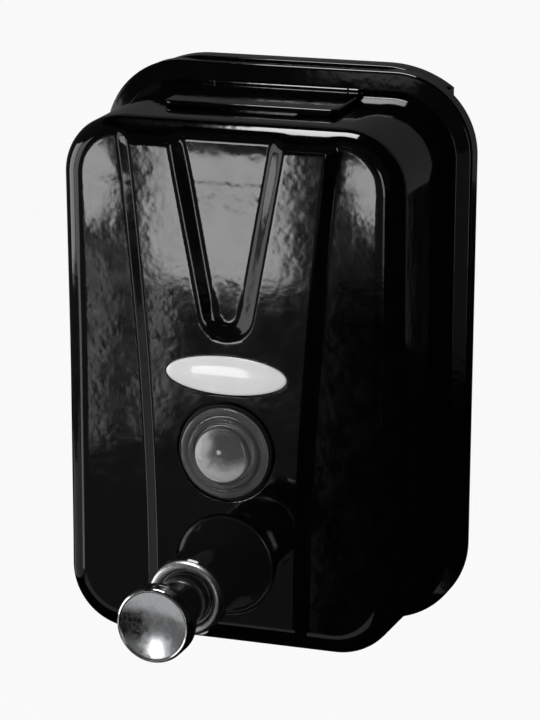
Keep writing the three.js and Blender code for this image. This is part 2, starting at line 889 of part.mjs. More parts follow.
function pumpSleeve() {
  const flareSteps = 7;
  const flare = [];
  for (let i = 0; i <= flareSteps; i += 1) {
    const share = i / flareSteps;
    const radius = pump.sleeveRadius + (pump.rootRadius - pump.sleeveRadius) * (1 - share) ** 2;
    flare.push([radius, THREE.MathUtils.lerp(pump.flangeEdge + gap, pump.flareLength, share)]);
  }
  flare.reverse();
  const edge = pump.edgeRadius;
  const lipStart = pump.sleeveLength - pump.lipLength;
  const sleeve = turned(
    [
      [pump.guideBore, pump.sleeveLength],
      [pump.lipRadius - edge, pump.sleeveLength],
      [pump.lipRadius, pump.sleeveLength - edge],
      [pump.lipRadius, lipStart],
      [pump.sleeveRadius, lipStart - edge],
      ...flare,
      [pump.flangeRadius - edge, pump.flangeEdge],
      [pump.flangeRadius, pump.flangeEdge - edge],
      [pump.flangeRadius, pumpFlangeBack + edge],
      [pump.flangeRadius - edge, pumpFlangeBack],
      [pump.tailRadius, pumpFlangeBack],
      [pump.tailRadius, pumpTailEnd],
      [pump.bore, pumpTailEnd],
      [pump.bore, guideStart],
      [pump.guideBore, guideStart],
    ],
    pump.height,
  );
  const ductHeight = pump.height - outlet.ductOffset;
  const [ductBack, ductFront] = [proudToDepth(outlet.ductStart), proudToDepth(outlet.proud)];
  return cut(
    sleeve,
    alongDepth(outlet.ductRadius, ductBack, ductFront, 0, ductHeight, boreSides),
    alongHeight(
      outlet.ductRadius,
      ductHeight,
      pump.height - pump.bore + gap,
      0,
      ductBack + outlet.ductRadius,
      boreSides,
    ),
    alongHeight(
      outlet.radius + gap,
      pump.height - pump.flangeRadius,
      pump.height - outlet.floor + gap,
      0,
      ductFront,
      smallSides,
    ),
  );
}

const pumpGasketFront = innerFrontProud - gap;
const pumpNutFront = pumpGasketFront - pump.gasketThickness - gap;

const pumpGasket = () =>
  turned(
    tubeProfile(
      pump.gasketRadius,
      pump.holeRadius,
      pumpGasketFront - pump.gasketThickness,
      pumpGasketFront,
    ),
    pump.height,
    hiddenSides,
  );

const pumpNut = () =>
  castleNut(
    pump.nutRadius,
    pump.tailRadius + gap,
    pumpNutFront - pump.nutThickness,
    pumpNutFront,
    pump.height,
  );

function collarRing() {
  const back = pump.sleeveLength + gap;
  const front = back + ring.thickness;
  const edge = ring.edgeRadius;
  return turned(
    [
      [ring.innerRadius, back],
      [ring.radius - edge / 2, back],
      [ring.radius, back + edge / 2],
      [ring.radius, front - edge],
      [ring.radius - edge, front],
      [ring.innerRadius + edge, front],
      [ring.innerRadius, front - edge],
    ],
    pump.height,
  );
}

const stemGuide = () =>
  turned(
    tubeProfile(
      pump.guideBore - gap,
      plunger.stemRadius + guide.running,
      guideStart + gap,
      pump.sleeveLength,
    ),
    pump.height,
    hiddenSides,
  );

// Plunger: knob, collar, stem, piston and seal move together

const knobBack = plunger.knobProud - plunger.knobThickness;
const collarBack = knobBack - gap - plunger.collarThickness;
const stemEnd = collarBack - gap;
const pistonFront = plunger.pistonProud + plunger.pistonLength;

function pushKnob() {
  const roll = plunger.rollRadius;
  const socket = plunger.spigotRadius + gap;
  const face = plunger.knobProud - plunger.domeRise;
  return turned(
    [
      ...plunger.domeShares.map(([outShare, downShare]) => [
        plunger.knobRadius * outShare,
        plunger.knobProud - plunger.domeRise * downShare,
      ]),
      ...plunger.rollShares.map(([inShare, backShare]) => [
        plunger.knobRadius - roll * inShare,
        face - roll * backShare,
      ]),
      [plunger.knobRadius, knobBack],
      [socket, knobBack],
      [socket, stemEnd + plunger.spigotLength + gap],
      [0, stemEnd + plunger.spigotLength + gap],
    ],
    pump.height,
  );
}

function knobCollar() {
  const edge = pump.edgeRadius;
  const front = knobBack - gap;
  return turned(
    [
      [plunger.spigotRadius + gap, collarBack],
      [plunger.knobRadius - edge, collarBack],
      [plunger.knobRadius, collarBack + edge],
      [plunger.knobRadius, front - edge],
      [plunger.knobRadius - edge, front],
      [plunger.spigotRadius + gap, front],
    ],
    pump.height,
  );
}

const pushStem = () =>
  turned(
    [
      [0, stemEnd + plunger.spigotLength],
      [plunger.spigotRadius, stemEnd + plunger.spigotLength],
      [plunger.spigotRadius, stemEnd],
      [plunger.stemRadius, stemEnd],
      [plunger.stemRadius, pistonFront + gap],
      [plunger.tangRadius, pistonFront + gap],
      [plunger.tangRadius, pistonFront + gap - plunger.tangLength],
      [0, pistonFront + gap - plunger.tangLength],
    ],
    pump.height,
  );

const sealInner = pump.bore - plunger.sealRunning - plunger.sealDepth;
const sealBack = plunger.pistonProud + (plunger.pistonLength - plunger.sealWidth) / 2;

const piston = () =>
  turned(
    [
      [0, plunger.pistonProud],
      [plunger.pistonRadius, plunger.pistonProud],
      [plunger.pistonRadius, sealBack - gap],
      [sealInner - gap, sealBack - gap],
      [sealInner - gap, sealBack + plunger.sealWidth + gap],
      [plunger.pistonRadius, sealBack + plunger.sealWidth + gap],
      [plunger.pistonRadius, pistonFront],
      [plunger.tangRadius + gap, pistonFront],
      [plunger.tangRadius + gap, pistonFront - plunger.tangLength],
      [0, pistonFront - plunger.tangLength],
    ],
    pump.height,
  );

const pistonSeal = () =>
  turned(
    tubeProfile(pump.bore - plunger.sealRunning, sealInner, sealBack, sealBack + plunger.sealWidth),
    pump.height,
  );

// Valve that closes the back of the pump, and the spring between it and the piston

const plugFront = pumpTailEnd - gap + valve.plugLength;
const standDepth = proudToDepth(-valve.standBack);

function returnSpring() {
  const back = plugFront + gap + spring.wireRadius;
  const front = plunger.pistonProud - gap - spring.wireRadius;
  const steps = spring.turns * spring.stepsPerTurn;
  const rings = [];
  for (let i = 0; i <= steps; i += 1) {
    const angle = (i / spring.stepsPerTurn) * Math.PI * 2;
    const proud = THREE.MathUtils.lerp(back, front, i / steps);
    const ringPoints = [];
    for (let k = 0; k < spring.wireSides; k += 1) {
      const turn = (k / spring.wireSides) * Math.PI * 2;
      const radius = spring.radius + spring.wireRadius * Math.cos(turn);
      ringPoints.push([
        radius * Math.cos(angle),
        -proudToDepth(proud + spring.wireRadius * Math.sin(turn)),
        pump.height + radius * Math.sin(angle),
      ]);
    }
    rings.push(ringPoints);
  }
  const sides = spring.wireSides;
  const triangles = [];
  for (let i = 0; i < steps; i += 1) {
    for (let k = 0; k < sides; k += 1) {
      const [a, b] = [i * sides + k, i * sides + ((k + 1) % sides)];
      triangles.push(a, b, b + sides, a, b + sides, a + sides);
    }
  }
  for (let k = 1; k + 1 < sides; k += 1) {
    const last = steps * sides;
    triangles.push(0, k + 1, k, last, last + k, last + k + 1);
  }
  const geometry = new THREE.BufferGeometry();
  geometry.setAttribute('position', new THREE.Float32BufferAttribute(rings.flat(2), 3));
  geometry.setIndex(triangles);
  return geometryOf(solid(geometry));
}

function inletValve() {
  const plugBack = pumpTailEnd - gap;
  const plug = turned(
    [
      [0, plugFront],
      [valve.plugRadius, plugFront],
      [valve.plugRadius, plugBack],
      [pump.tailRadius, plugBack],
      [pump.tailRadius, plugBack - valve.flangeThickness],
      [valve.neckRadius, plugBack - valve.flangeThickness],
      [valve.neckRadius, -valve.standBack],
      [0, -valve.standBack],
    ],
    pump.height,
    hiddenSides,
  );
  const at = (offset) => pump.height + offset;
  const stand = alongHeight(
    valve.standRadius,
    at(-valve.standBottom),
    at(valve.standTop),
    0,
    standDepth,
    hiddenSides,
  );
  const socketTop = -valve.seatBelow - valve.seatThickness;
  return cut(
    union(plug, stand),
    alongDepth(valve.portRadius, standDepth, proudToDepth(plugFront) + overrun, 0, pump.height),
    alongHeight(valve.chamberRadius, at(-valve.seatBelow), at(valve.chamberTop), 0, standDepth),
    alongHeight(valve.seatRadius, at(-valve.standBottom), at(0), 0, standDepth),
    alongHeight(
      valve.tubeRadius + gap,
      at(-valve.standBottom) - overrun,
      at(socketTop),
      0,
      standDepth,
    ),
  );
}

function inletBall() {
  const ball = new THREE.SphereGeometry(valve.ballRadius, smallSides, 10);
  const seat = Math.sqrt(valve.ballRadius ** 2 - valve.seatRadius ** 2);
  const height = pump.height - valve.seatBelow + seat + gap / 2;
  return ball.rotateX(Math.PI / 2).translate(0, -standDepth, height);
}

function pickupTube() {
  const top = pump.height - valve.seatBelow - valve.seatThickness - gap;
  const foot = pump.height - valve.tubeFoot;
  return turnedUpright(tubeProfile(valve.tubeRadius, valve.tubeBore, foot, top), standDepth);
}

// Outlet under the sleeve

const outletDepth = proudToDepth(outlet.proud);

function outletNozzle() {
  const top = pump.height - outlet.floor;
  const throatEnd = top - outlet.throatLength;
  const tip = pump.height - outlet.tip;
  return turnedUpright(
    [
      [outlet.throat, top],
      [outlet.radius, top],
      [outlet.radius, tip + outlet.throat / 2],
      [outlet.radius - outlet.throat / 4, tip],
      [outlet.bore, tip],
      [outlet.bore, throatEnd],
      [outlet.throat, throatEnd],
    ],
    outletDepth,
    hiddenSides,
  );
}

function outletFlap() {
  const top = pump.height - outlet.floor - outlet.throatLength - gap;
  const bottom = top - outlet.flapLength;
  const cone = turnedUpright(
    [
      [0, top],
      [outlet.flapRadius, top],
      [outlet.flapRadius, (top + bottom) / 2],
      [outlet.flapRadius * outlet.flapTipShare, bottom],
      [0, bottom],
    ],
    outletDepth,
  );
  const slit = block(
    -outlet.flapRadius,
    outlet.flapRadius,
    outletDepth - outlet.flapSlit / 2,
    outletDepth + outlet.flapSlit / 2,
    bottom - overrun,
    (top + bottom) / 2,
  );
  return cut(cone, slit);
}

// Materials and the assembly

const blackCoat = { color: 0x0c0c0d, roughness: 0.14, metalness: 0 };
const glossBlack = { color: 0x0b0b0c, roughness: 0.12, metalness: 0 };
const satinBlack = { color: 0x141415, roughness: 0.5, metalness: 0 };
const chrome = { color: 0xd8dadd, roughness: 0.06, metalness: 1 };
const steel = { color: 0xa9adb0, roughness: 0.35, metalness: 1 };
const rubber = { color: 0x0a0a0a, roughness: 0.85, metalness: 0 };
const whitePlastic = { color: 0xf1f1ef, roughness: 0.3, metalness: 0 };
const naturalPlastic = { color: 0xdedfd9, roughness: 0.45, metalness: 0 };
const clearPlastic = { color: 0xb9bcbd, roughness: 0.08, metalness: 0, transparent: true, opacity: 0.5 };

const group = new THREE.Group();

function add(name, geometry, finish) {
  const outward = geometryOf(solid(geometry));
  const mesh = new THREE.Mesh(outward, new THREE.MeshStandardMaterial(finish));
  mesh.name = name;
  group.add(mesh);
}

add('housing', housing(), blackCoat);
add('rear_cover', rearCover(), blackCoat);
add('wall_plate', wallPlate(), blackCoat);
add('lid', lidPlate(), blackCoat);
add('lid_gasket', lidGasket(), rubber);
add('hinge_pin', hingePin(), steel);
add('badge', badgePlate(), whitePlastic);
add('sight_lens', sightLens(), clearPlastic);
add('sight_gasket', sightGasket(), rubber);
add('sight_nut', sightNut(), satinBlack);
add('pump_sleeve', pumpSleeve(), glossBlack);
add('pump_gasket', pumpGasket(), rubber);
add('pump_nut', pumpNut(), satinBlack);
add('collar_ring', collarRing(), chrome);
add('stem_guide', stemGuide(), naturalPlastic);
add('push_stem', pushStem(), glossBlack);
add('knob_collar', knobCollar(), satinBlack);
add('push_knob', pushKnob(), chrome);
add('piston', piston(), naturalPlastic);
add('piston_seal', pistonSeal(), rubber);
add('return_spring', returnSpring(), steel);
add('inlet_valve', inletValve(), naturalPlastic);
add('inlet_ball', inletBall(), steel);
add('pickup_tube', pickupTube(), naturalPlastic);
add('outlet_nozzle', outletNozzle(), naturalPlastic);
add('outlet_flap', outletFlap(), rubber);

export default group;
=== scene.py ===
"""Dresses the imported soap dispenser: finer forms, materials, a pale studio and the camera."""

import math

import bmesh
import bpy
import numpy as np
from bpy.props import FloatProperty, FloatVectorProperty, PointerProperty
from mathutils import Matrix, Vector


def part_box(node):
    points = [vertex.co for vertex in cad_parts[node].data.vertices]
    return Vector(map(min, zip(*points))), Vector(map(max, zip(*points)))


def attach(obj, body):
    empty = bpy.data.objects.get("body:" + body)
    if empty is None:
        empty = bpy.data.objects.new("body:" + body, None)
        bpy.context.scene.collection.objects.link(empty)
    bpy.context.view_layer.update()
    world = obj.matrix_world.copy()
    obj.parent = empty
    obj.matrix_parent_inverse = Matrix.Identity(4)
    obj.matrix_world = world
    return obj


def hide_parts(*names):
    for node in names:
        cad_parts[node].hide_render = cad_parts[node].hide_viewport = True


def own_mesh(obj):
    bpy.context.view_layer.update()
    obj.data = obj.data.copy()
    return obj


bl_info = {
    "name": "Wall soap dispenser",
    "version": (1, 0, 0),
    "blender": (4, 5, 0),
    "location": "3D View > Sidebar > Dispenser",
    "description": "Builds a wall-mounted soap dispenser round its packed solids",
    "category": "Object",
}

MM = 0.001
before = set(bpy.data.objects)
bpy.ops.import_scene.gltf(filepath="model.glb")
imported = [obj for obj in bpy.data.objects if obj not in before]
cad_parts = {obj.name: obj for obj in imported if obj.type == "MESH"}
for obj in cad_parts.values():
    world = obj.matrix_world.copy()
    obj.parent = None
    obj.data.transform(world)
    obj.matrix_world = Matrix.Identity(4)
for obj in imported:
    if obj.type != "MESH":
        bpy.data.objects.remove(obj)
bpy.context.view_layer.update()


# Sizes and colours that a user would change


def length(name, description, default):
    """A length in metres, given in millimetres."""
    return FloatProperty(name=name, description=description, default=default * MM, unit="LENGTH")


def linear(text):
    """sRGB hex text as the linear colour that a shader takes."""
    values = [int(text[i : i + 2], 16) / 255 for i in (1, 3, 5)]
    out = [v / 12.92 if v <= 0.04045 else ((v + 0.055) / 1.055) ** 2.4 for v in values]
    return (*out, 1.0)


def colour(name, description, default):
    """A finish colour, written as the sRGB hex that it was matched in."""
    return FloatVectorProperty(
        name=name, description=description, default=linear(default), size=4, min=0, max=1, subtype="COLOR"
    )


class DispenserBodySettings(bpy.types.PropertyGroup):
    """Pressed tank: its outline is the solids' own, and these shape what they leave plain."""

    front_half_width: length("Front half width", "Half width at the front", 56.9)
    rear_half_width: length("Rear half width", "Half width at the flange", 57.2)
    front_top: length("Front top", "Height of the top wall at the front", 83.5)
    rear_top: length("Rear top", "Height of the top wall at the flange", 85.0)
    front_bottom: length("Front bottom", "Height of the bottom wall at the front", -90.6)
    rear_bottom: length("Rear bottom", "Height of the bottom wall at the flange", -91.3)
    top_corner: length("Top corner", "Corner radius at the top", 20.0)
    bottom_corner: length("Bottom corner", "Corner radius at the bottom", 21.0)
    face_depth: length("Face depth", "Raised face, in front of the wall", 74.0)
    relief: length("Relief", "Height of the raised face over the panels", 1.8)
    crest: length("Crest", "Softening of the front edge's crest", 0.6)
    dish_reach: length("Dish reach", "How far in from the rim the sheet is dished", 16.0)
    dish_slope: FloatProperty(
        name="Dish slope",
        description="Slope of that dish at the rim, at the top of the front",
        default=math.radians(3.3),
        subtype="ANGLE",
    )
    edge_rise: length("Edge rise", "Depth of the rounded front edge, up to the panels", 7.0)
    side_reach: length("Side reach", "How far the rounding reaches in from the sides and the bottom", 7.6)
    top_reach: length("Top reach", "How far the rounding reaches in from the top", 5.9)
    fade_start: length("Fade start", "Distance from the outline where the relief begins to rise", 2.6)
    fade_reach: length("Fade reach", "Width over which the relief rises to its full height", 4.8)
    lean_height: length("Lean height", "Height over which the front leans forward evenly", 13.0)
    lean_slope: FloatProperty(name="Lean slope", description="Forward lean of the upper front", default=0.0275)
    widening: FloatProperty(name="Widening", description="Widening of the front with height", default=0.0055)
    sheet: length("Sheet", "Thickness of the pressed sheet", 1.0)
    fold: length("Fold", "Half width of the folds beside each outer ramp", 0.8)
    valley_fold: length("Valley fold", "Half width of the softer folds round the middle panel", 1.4)
    side_ramp: length("Side ramp", "Width of the ramps beside the outer panels", 3.5)
    valley_ramp: length("Valley ramp", "Width of the ramp round the middle panel", 4.6)
    valley_radius: length("Valley radius", "Lower end of the middle panel, on the raised face", 8.9)
    valley_centre: length("Valley centre", "Height of the centre of that radius", 22.0)
    valley_lean: FloatProperty(
        name="Valley lean",
        description="Lean of the middle panel's sides",
        default=math.radians(10.4),
        subtype="ANGLE",
    )


class DispenserPumpSettings(bpy.types.PropertyGroup):
    """Pump, window and badge: places on the front and the radii that show."""

    pump_height: length("Pump height", "Height of the pump's axis", -62.0)
    sight_height: length("Window height", "Height of the window's centre", -24.0)
    badge_height: length("Badge height", "Height of the badge's centre", 1.5)
    knob_radius: length("Button radius", "Radius of the push button", 11.9)
    sleeve_radius: length("Sleeve radius", "Radius of the sleeve behind its lip", 12.55)
    window_radius: length("Window radius", "Radius of the window's rim", 15.0)


class DispenserFinishSettings(bpy.types.PropertyGroup):
    """Finish colours as sRGB hex, and the grain of the coat."""

    coat: colour("Coat", "Black powder coat", "#0b0b0c")
    plastic: colour("Black plastic", "Gloss black mouldings", "#141415")
    badge: colour("Badge", "White badge", "#f2f2f0")
    window: colour("Window", "Clear plastic", "#d5d8d9")
    peel: length("Orange peel", "Size of one swell of the coat's orange peel", 1.7)


class DispenserStageSettings(bpy.types.PropertyGroup):
    """Camera and floor."""

    camera_place: FloatVectorProperty(
        name="Camera place",
        description="Where the camera stands",
        default=(0.31633, -0.95312, 0.24038),
        unit="LENGTH",
    )
    floor_drop: length("Floor", "Height of the floor under the wall face's centre", -420.0)


def settings():
    return bpy.context.scene.dispenser


# Nodes and materials


def add(tree, kind, inputs=None, **props):
    """Adds a node with its properties, and values or links for its inputs."""
    node = tree.nodes.new(kind)
    for name, value in props.items():
        setattr(node, name, value)
    for key, value in (inputs or {}).items():
        if isinstance(value, bpy.types.NodeSocket):
            tree.links.new(value, node.inputs[key])
        else:
            node.inputs[key].default_value = value
    return node


def start(name, base, roughness, metallic=0.0, ior=None):
    """A new material with a Principled shader; returns it, its tree, the shader and object space."""
    material = bpy.data.materials.new(name)
    material.use_nodes = True
    tree = material.node_tree
    shader = tree.nodes["Principled BSDF"]
    shader.inputs["Base Color"].default_value = linear(base) if isinstance(base, str) else base
    shader.inputs["Roughness"].default_value = roughness
    shader.inputs["Metallic"].default_value = metallic
    if ior:
        shader.inputs["IOR"].default_value = ior
    place = add(tree, "ShaderNodeTexCoord").outputs["Object"]
    return material, tree, shader, place


def swells(tree, place, size, **props):
    """Noise whose swells are about the given size across, in metres."""
    return add(tree, "ShaderNodeTexNoise", {"Vector": place, "Scale": 1.0 / (2.0 * size), **props}).outputs["Fac"]


def ranged(tree, value, source, target=(0.0, 1.0), **props):
    """A value carried from one range to another."""
    inputs = {"Value": value}
    for name, (low, high) in (("From", source), ("To", target)):
        inputs[f"{name} Min"], inputs[f"{name} Max"] = low, high
    return add(tree, "ShaderNodeMapRange", inputs, **props).outputs["Result"]


def dulled(tree, shader, value, source, target):
    """Roughness that follows a value."""
    tree.links.new(ranged(tree, value, source, target), shader.inputs["Roughness"])


def toned(tree, shader, value, *stops):
    """Base colour that follows a value, by stops of (value, grey), in place of the colour at the start."""
    ramp = add(tree, "ShaderNodeValToRGB", {"Fac": value})
    elements = ramp.color_ramp.elements
    while len(elements) < len(stops):
        elements.new(1.0)
    for element, (place, grey) in zip(elements, stops):
        element.position = place
        element.color = (grey, grey, grey, 1.0)
    tree.links.new(ramp.outputs["Color"], shader.inputs["Base Color"])


def bumped(tree, shader, *layers):
    """Bumps of (value, distance, strength), each laid over the one before."""
    below = {}
    for value, distance, strength in layers:
        bump = add(tree, "ShaderNodeBump", {"Strength": strength, "Distance": distance, "Height": value, **below})
        below = {"Normal": bump.outputs["Normal"]}
    tree.links.new(below["Normal"], shader.inputs["Normal"])


def mixed(tree, share, first, second, output):
    """Shows a mix of two shaders at an output node."""
    blend = add(tree, "ShaderNodeMixShader", {"Fac": share, 1: first, 2: second})
    tree.links.new(blend.outputs["Shader"], tree.nodes[output].inputs["Surface"])


# Powder coat, polyester on pressed steel: a hard gloss with an orange peel of 1 to 2 mm swells
# that breaks reflections into flecks, over a sheet that bows slightly between its folds
def powder_coat():
    finish = settings().finish
    material, tree, shader, place = start("black powder coat, orange peel", finish.coat, 0.06, ior=1.5)
    fine = swells(tree, place, finish.peel, Detail=1.5, Roughness=0.5)
    broad = swells(tree, place, 9.0 * MM, Detail=1.0)
    wear = swells(tree, place, 4.0 * MM, Detail=6.0, Roughness=0.65)
    bumped(tree, shader, (broad, 0.032 * MM, 1.0), (fine, 0.018 * MM, 1.0))
    dulled(tree, shader, wear, (0.3, 0.75), (0.04, 0.09))
    toned(tree, shader, wear, (0.35, 0.0005), (0.75, 0.0016))
    return material


# ABS, injection moulded in a polished tool: deep black, a clean gloss, faint flow waves and
# fine handling marks
def gloss_moulding():
    material, tree, shader, place = start("black ABS, polished mould", settings().finish.plastic, 0.08, ior=1.54)
    flow = swells(tree, place, 5.0 * MM, Detail=1.0)
    marks = swells(tree, place, 0.8 * MM, Detail=4.0, Roughness=0.6)
    bumped(tree, shader, (flow, 0.3 * MM, 0.08))
    dulled(tree, shader, marks, (0.4, 0.8), (0.08 * 0.8, 0.08 * 2.4))
    return material


# ABS, moulded in a spark-eroded tool: satin black with a grain of about 0.3 mm
def satin_moulding():
    material, tree, shader, place = start("black ABS, eroded mould", "#17171a", 0.46, ior=1.54)
    grain = swells(tree, place, 0.3 * MM, Detail=3.0)
    bumped(tree, shader, (grain, 0.05 * MM, 0.3))
    toned(tree, shader, grain, (0.3, 0.006), (0.7, 0.011))
    return material


# Bright chromium plate on moulded ABS, dulled by use: a slightly grey mirror that blurs what it
# shows, with faint swells of the moulding under it and wiping marks
def chrome_plate(name="chromium plate on ABS", clearest=0.07, dullest=0.22):
    material, tree, shader, place = start(name, "#dcdee0", clearest, metallic=1.0)
    under = swells(tree, place, 3.0 * MM, Detail=1.0)
    wipe = swells(tree, place, 0.6 * MM, Detail=5.0, Roughness=0.7, Distortion=1.2)
    bumped(tree, shader, (under, 0.2 * MM, 0.3))
    dulled(tree, shader, wipe, (0.35, 0.7), (clearest, dullest))
    return material


# The same plate on the pump's ring, rubbed dull by cleaning cloths
def rubbed_plate():
    return chrome_plate("chromium plate on ABS, rubbed", 0.3, 0.5)


# Stainless steel, drawn wire and turned pin: dull mirror with fine drawing lines
def drawn_steel():
    material, tree, shader, place = start("stainless steel, drawn", "#a4a7aa", 0.3, metallic=1.0)
    lines = swells(tree, place, 0.25 * MM, Detail=4.0, Distortion=0.6)
    dulled(tree, shader, lines, (0.3, 0.7), (0.22, 0.42))
    return material


# Nitrile rubber, press moulded: matt black with a slightly dusty tone
def seal_rubber():
    material, tree, shader, place = start("black nitrile rubber", "#0e0e0e", 0.62, ior=1.52)
    dust = swells(tree, place, 1.2 * MM, Detail=5.0, Roughness=0.7)
    toned(tree, shader, dust, (0.4, 0.0012), (0.8, 0.0035))
    bumped(tree, shader, (dust, 0.04 * MM, 0.2))
    return material


# White vinyl under a poured clear dome: bright white with a wet gloss and a soft edge
def domed_badge():
    material, tree, shader, place = start("white vinyl under clear resin", settings().finish.badge, 0.22, ior=1.5)
    shader.inputs["Coat Weight"].default_value = 0.8
    shader.inputs["Coat Roughness"].default_value = 0.04
    toned(tree, shader, swells(tree, place, 6.0 * MM, Detail=2.0), (0.3, 0.74), (0.7, 0.80))
    return material


# Polycarbonate, turned and polished: clear with fine turning marks, and painted light: a pale patch painted
# inside its disc, over the lower left, that leaves the upper right part dark and clear
def clear_window():
    material, tree, shader, place = start("clear polycarbonate", settings().finish.window, 0.06, ior=1.585)
    shader.inputs["Transmission Weight"].default_value = 0.74
    dulled(tree, shader, swells(tree, place, 0.9 * MM, Detail=4.0, Roughness=0.6), (0.35, 0.8), (0.03, 0.14))

    def vector(operation, *values):
        return add(tree, "ShaderNodeVectorMath", dict(enumerate(values)), operation=operation).outputs

    # places measured from the window's middle, moved to and fro so that the painted light's edge is uneven
    offset = vector("SUBTRACT", place, (0.0, 0.0, settings().pump.sight_height))["Vector"]
    streaks = swells(tree, place, 2.2 * MM, Detail=4.0, Roughness=0.6)
    uneven = ranged(tree, streaks, (0.0, 1.0), (-4.5 * MM, 4.5 * MM))
    moved = add(tree, "ShaderNodeSeparateXYZ", {"Vector": vector("ADD", offset, uneven)["Vector"]}).outputs
    left = ranged(tree, moved["X"], (0.2 * MM, -5.6 * MM), interpolation_type="SMOOTHSTEP")
    below = ranged(tree, moved["Z"], (1.0 * MM, -5.6 * MM), interpolation_type="SMOOTHSTEP")
    painted_light = add(tree, "ShaderNodeMath", {0: left, 1: below}, operation="MAXIMUM").outputs["Value"]
    # the painted light lies on the disc alone
    flat = vector("MULTIPLY", offset, (1.0, 0.0, 1.0))["Vector"]
    disc = ranged(tree, vector("LENGTH", flat)["Value"], (9.2 * MM, 8.6 * MM))
    share = add(tree, "ShaderNodeMath", {0: painted_light, 1: disc}, operation="MULTIPLY").outputs["Value"]
    # base colour pale where the light is painted, dark and clear elsewhere
    toned(tree, shader, share, (0.0, 0.2), (0.5, 0.5), (1.0, 0.95))
    return material


# Polypropylene, moulded without pigment: milky and waxy
def natural_moulding():
    material, tree, shader, place = start("natural polypropylene", "#d9dad2", 0.42, ior=1.49)
    shader.inputs["Subsurface Weight"].default_value = 0.15
    shader.inputs["Subsurface Radius"].default_value = (0.002, 0.002, 0.0018)
    toned(tree, shader, swells(tree, place, 2.5 * MM, Detail=3.0), (0.3, 0.62), (0.7, 0.74))
    return material


_made = {}


def finish_of(maker):
    """The material that a maker makes, made once."""
    if maker.__name__ not in _made:
        _made[maker.__name__] = maker()
    return _made[maker.__name__]


# Mesh tools


def place_piece(obj, maker, body, slot, *nodes):
    """Gives a piece its finish and its body, and hides the nodes that it stands for. The slot is not used."""
    obj.data.materials.clear()
    obj.data.materials.append(finish_of(maker))
    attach(obj, body)
    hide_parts(*nodes)


def dress(maker, *nodes):
    """Gives a finish to CAD nodes that stay as they are."""
    for name in nodes:
        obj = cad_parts[name]
        for index in range(len(obj.material_slots)):
            obj.material_slots[index].material = finish_of(maker)


def mesh_object(name, vertices, faces, sharp=35.0):
    """A smooth object from vertices in metres, with edges kept where faces meet sharply."""
    mesh = bpy.data.meshes.new(name)
    mesh.from_pydata([tuple(v) for v in vertices], [], [tuple(f) for f in faces])
    mesh.validate()
    obj = bpy.data.objects.new(name, mesh)
    bpy.context.scene.collection.objects.link(obj)
    smooth(obj, sharp)
    return obj


def smooth(obj, sharp=35.0):
    """Outward faces, smooth shading, and sharp edges from an angle."""
    mesh = obj.data
    shape = bmesh.new()
    shape.from_mesh(mesh)
    bmesh.ops.recalc_face_normals(shape, faces=shape.faces)
    shape.to_mesh(mesh)
    shape.free()
    mesh.polygons.foreach_set("use_smooth", [True] * len(mesh.polygons))
    mesh.set_sharp_from_angle(angle=math.radians(sharp))
    weigh = obj.modifiers.new("weigh", "WEIGHTED_NORMAL")
    weigh.keep_sharp = True
    apply_modifiers(obj)


def apply_modifiers(obj):
    """Applies an object's modifiers to its mesh."""
    graph = bpy.context.evaluated_depsgraph_get()
    made = bpy.data.meshes.new_from_object(obj.evaluated_get(graph), preserve_all_data_layers=True, depsgraph=graph)
    obj.modifiers.clear()
    obj.data = made


def combine(obj, others, operation, sharp):
    """Cuts other solids out of an object, or joins them to it, and removes them."""
    for other in others:
        change = obj.modifiers.new("combine", "BOOLEAN")
        change.operation = operation
        change.solver = "MANIFOLD"
        change.object = other
    bpy.context.view_layer.update()
    apply_modifiers(obj)
    for other in others:
        bpy.data.objects.remove(other)
    smooth(obj, sharp)


def carve(obj, cutters, sharp=35.0):
    combine(obj, cutters, "DIFFERENCE", sharp)


def join(obj, others, sharp=35.0):
    combine(obj, others, "UNION", sharp)


def filleted(points, steps=6):
    """Rounds a profile: each point is (a, b) or (a, b, radius)."""
    out = []
    for i, point in enumerate(points):
        here = np.array(point[:2], float)
        radius = point[2] if len(point) > 2 else 0.0
        if not radius:
            out.append(here)
            continue
        before = np.array(points[i - 1][:2], float) - here
        after = np.array(points[(i + 1) % len(points)][:2], float) - here
        before /= np.linalg.norm(before)
        after /= np.linalg.norm(after)
        half = math.acos(max(-1.0, min(1.0, float(before @ after)))) / 2
        reach = radius / math.tan(half)
        centre = here + (before + after) / np.linalg.norm(before + after) * radius / math.sin(half)
        first, last = here + before * reach - centre, here + after * reach - centre
        sweep = math.pi - 2 * half
        for k in range(steps + 1):
            t = k / steps
            blend = (math.sin((1 - t) * sweep) * first + math.sin(t * sweep) * last) / math.sin(sweep)
            out.append(centre + blend)
    return out


def lathed(name, points, sides, place):
    """A solid of rings; points are (radius, along), and place puts (radius, along, angle) in space."""
    vertices, faces, rings = [], [], []
    for radius, along in points:
        count = 1 if radius < 1e-9 else sides
        rings.append(range(len(vertices), len(vertices) + count))
        vertices.extend(place(radius, along, 2 * math.pi * k / sides) for k in range(count))
    # a profile that starts off the axis comes round to its start
    back = [(rings[-1], rings[0])] if len(rings[0]) > 1 else []
    for ring, after in [*zip(rings, rings[1:]), *back]:
        for k in range(sides):
            n = (k + 1) % sides
            if len(ring) == 1:
                faces.append((ring[0], after[k], after[n]))
            elif len(after) == 1:
                faces.append((ring[k], ring[n], after[0]))
            else:
                faces.append((ring[k], ring[n], after[n], after[k]))
    return mesh_object(name, vertices, faces)


def turned(name, profile, height, sides=96):
    """A piece turned about an axis along the depth; profile is (radius, proud) in millimetres."""
    face = settings().body.face_depth

    def place(radius, proud, angle):
        return (radius * MM * math.cos(angle), -face - proud * MM, height + radius * MM * math.sin(angle))

    return lathed(name, filleted(profile), sides, place)


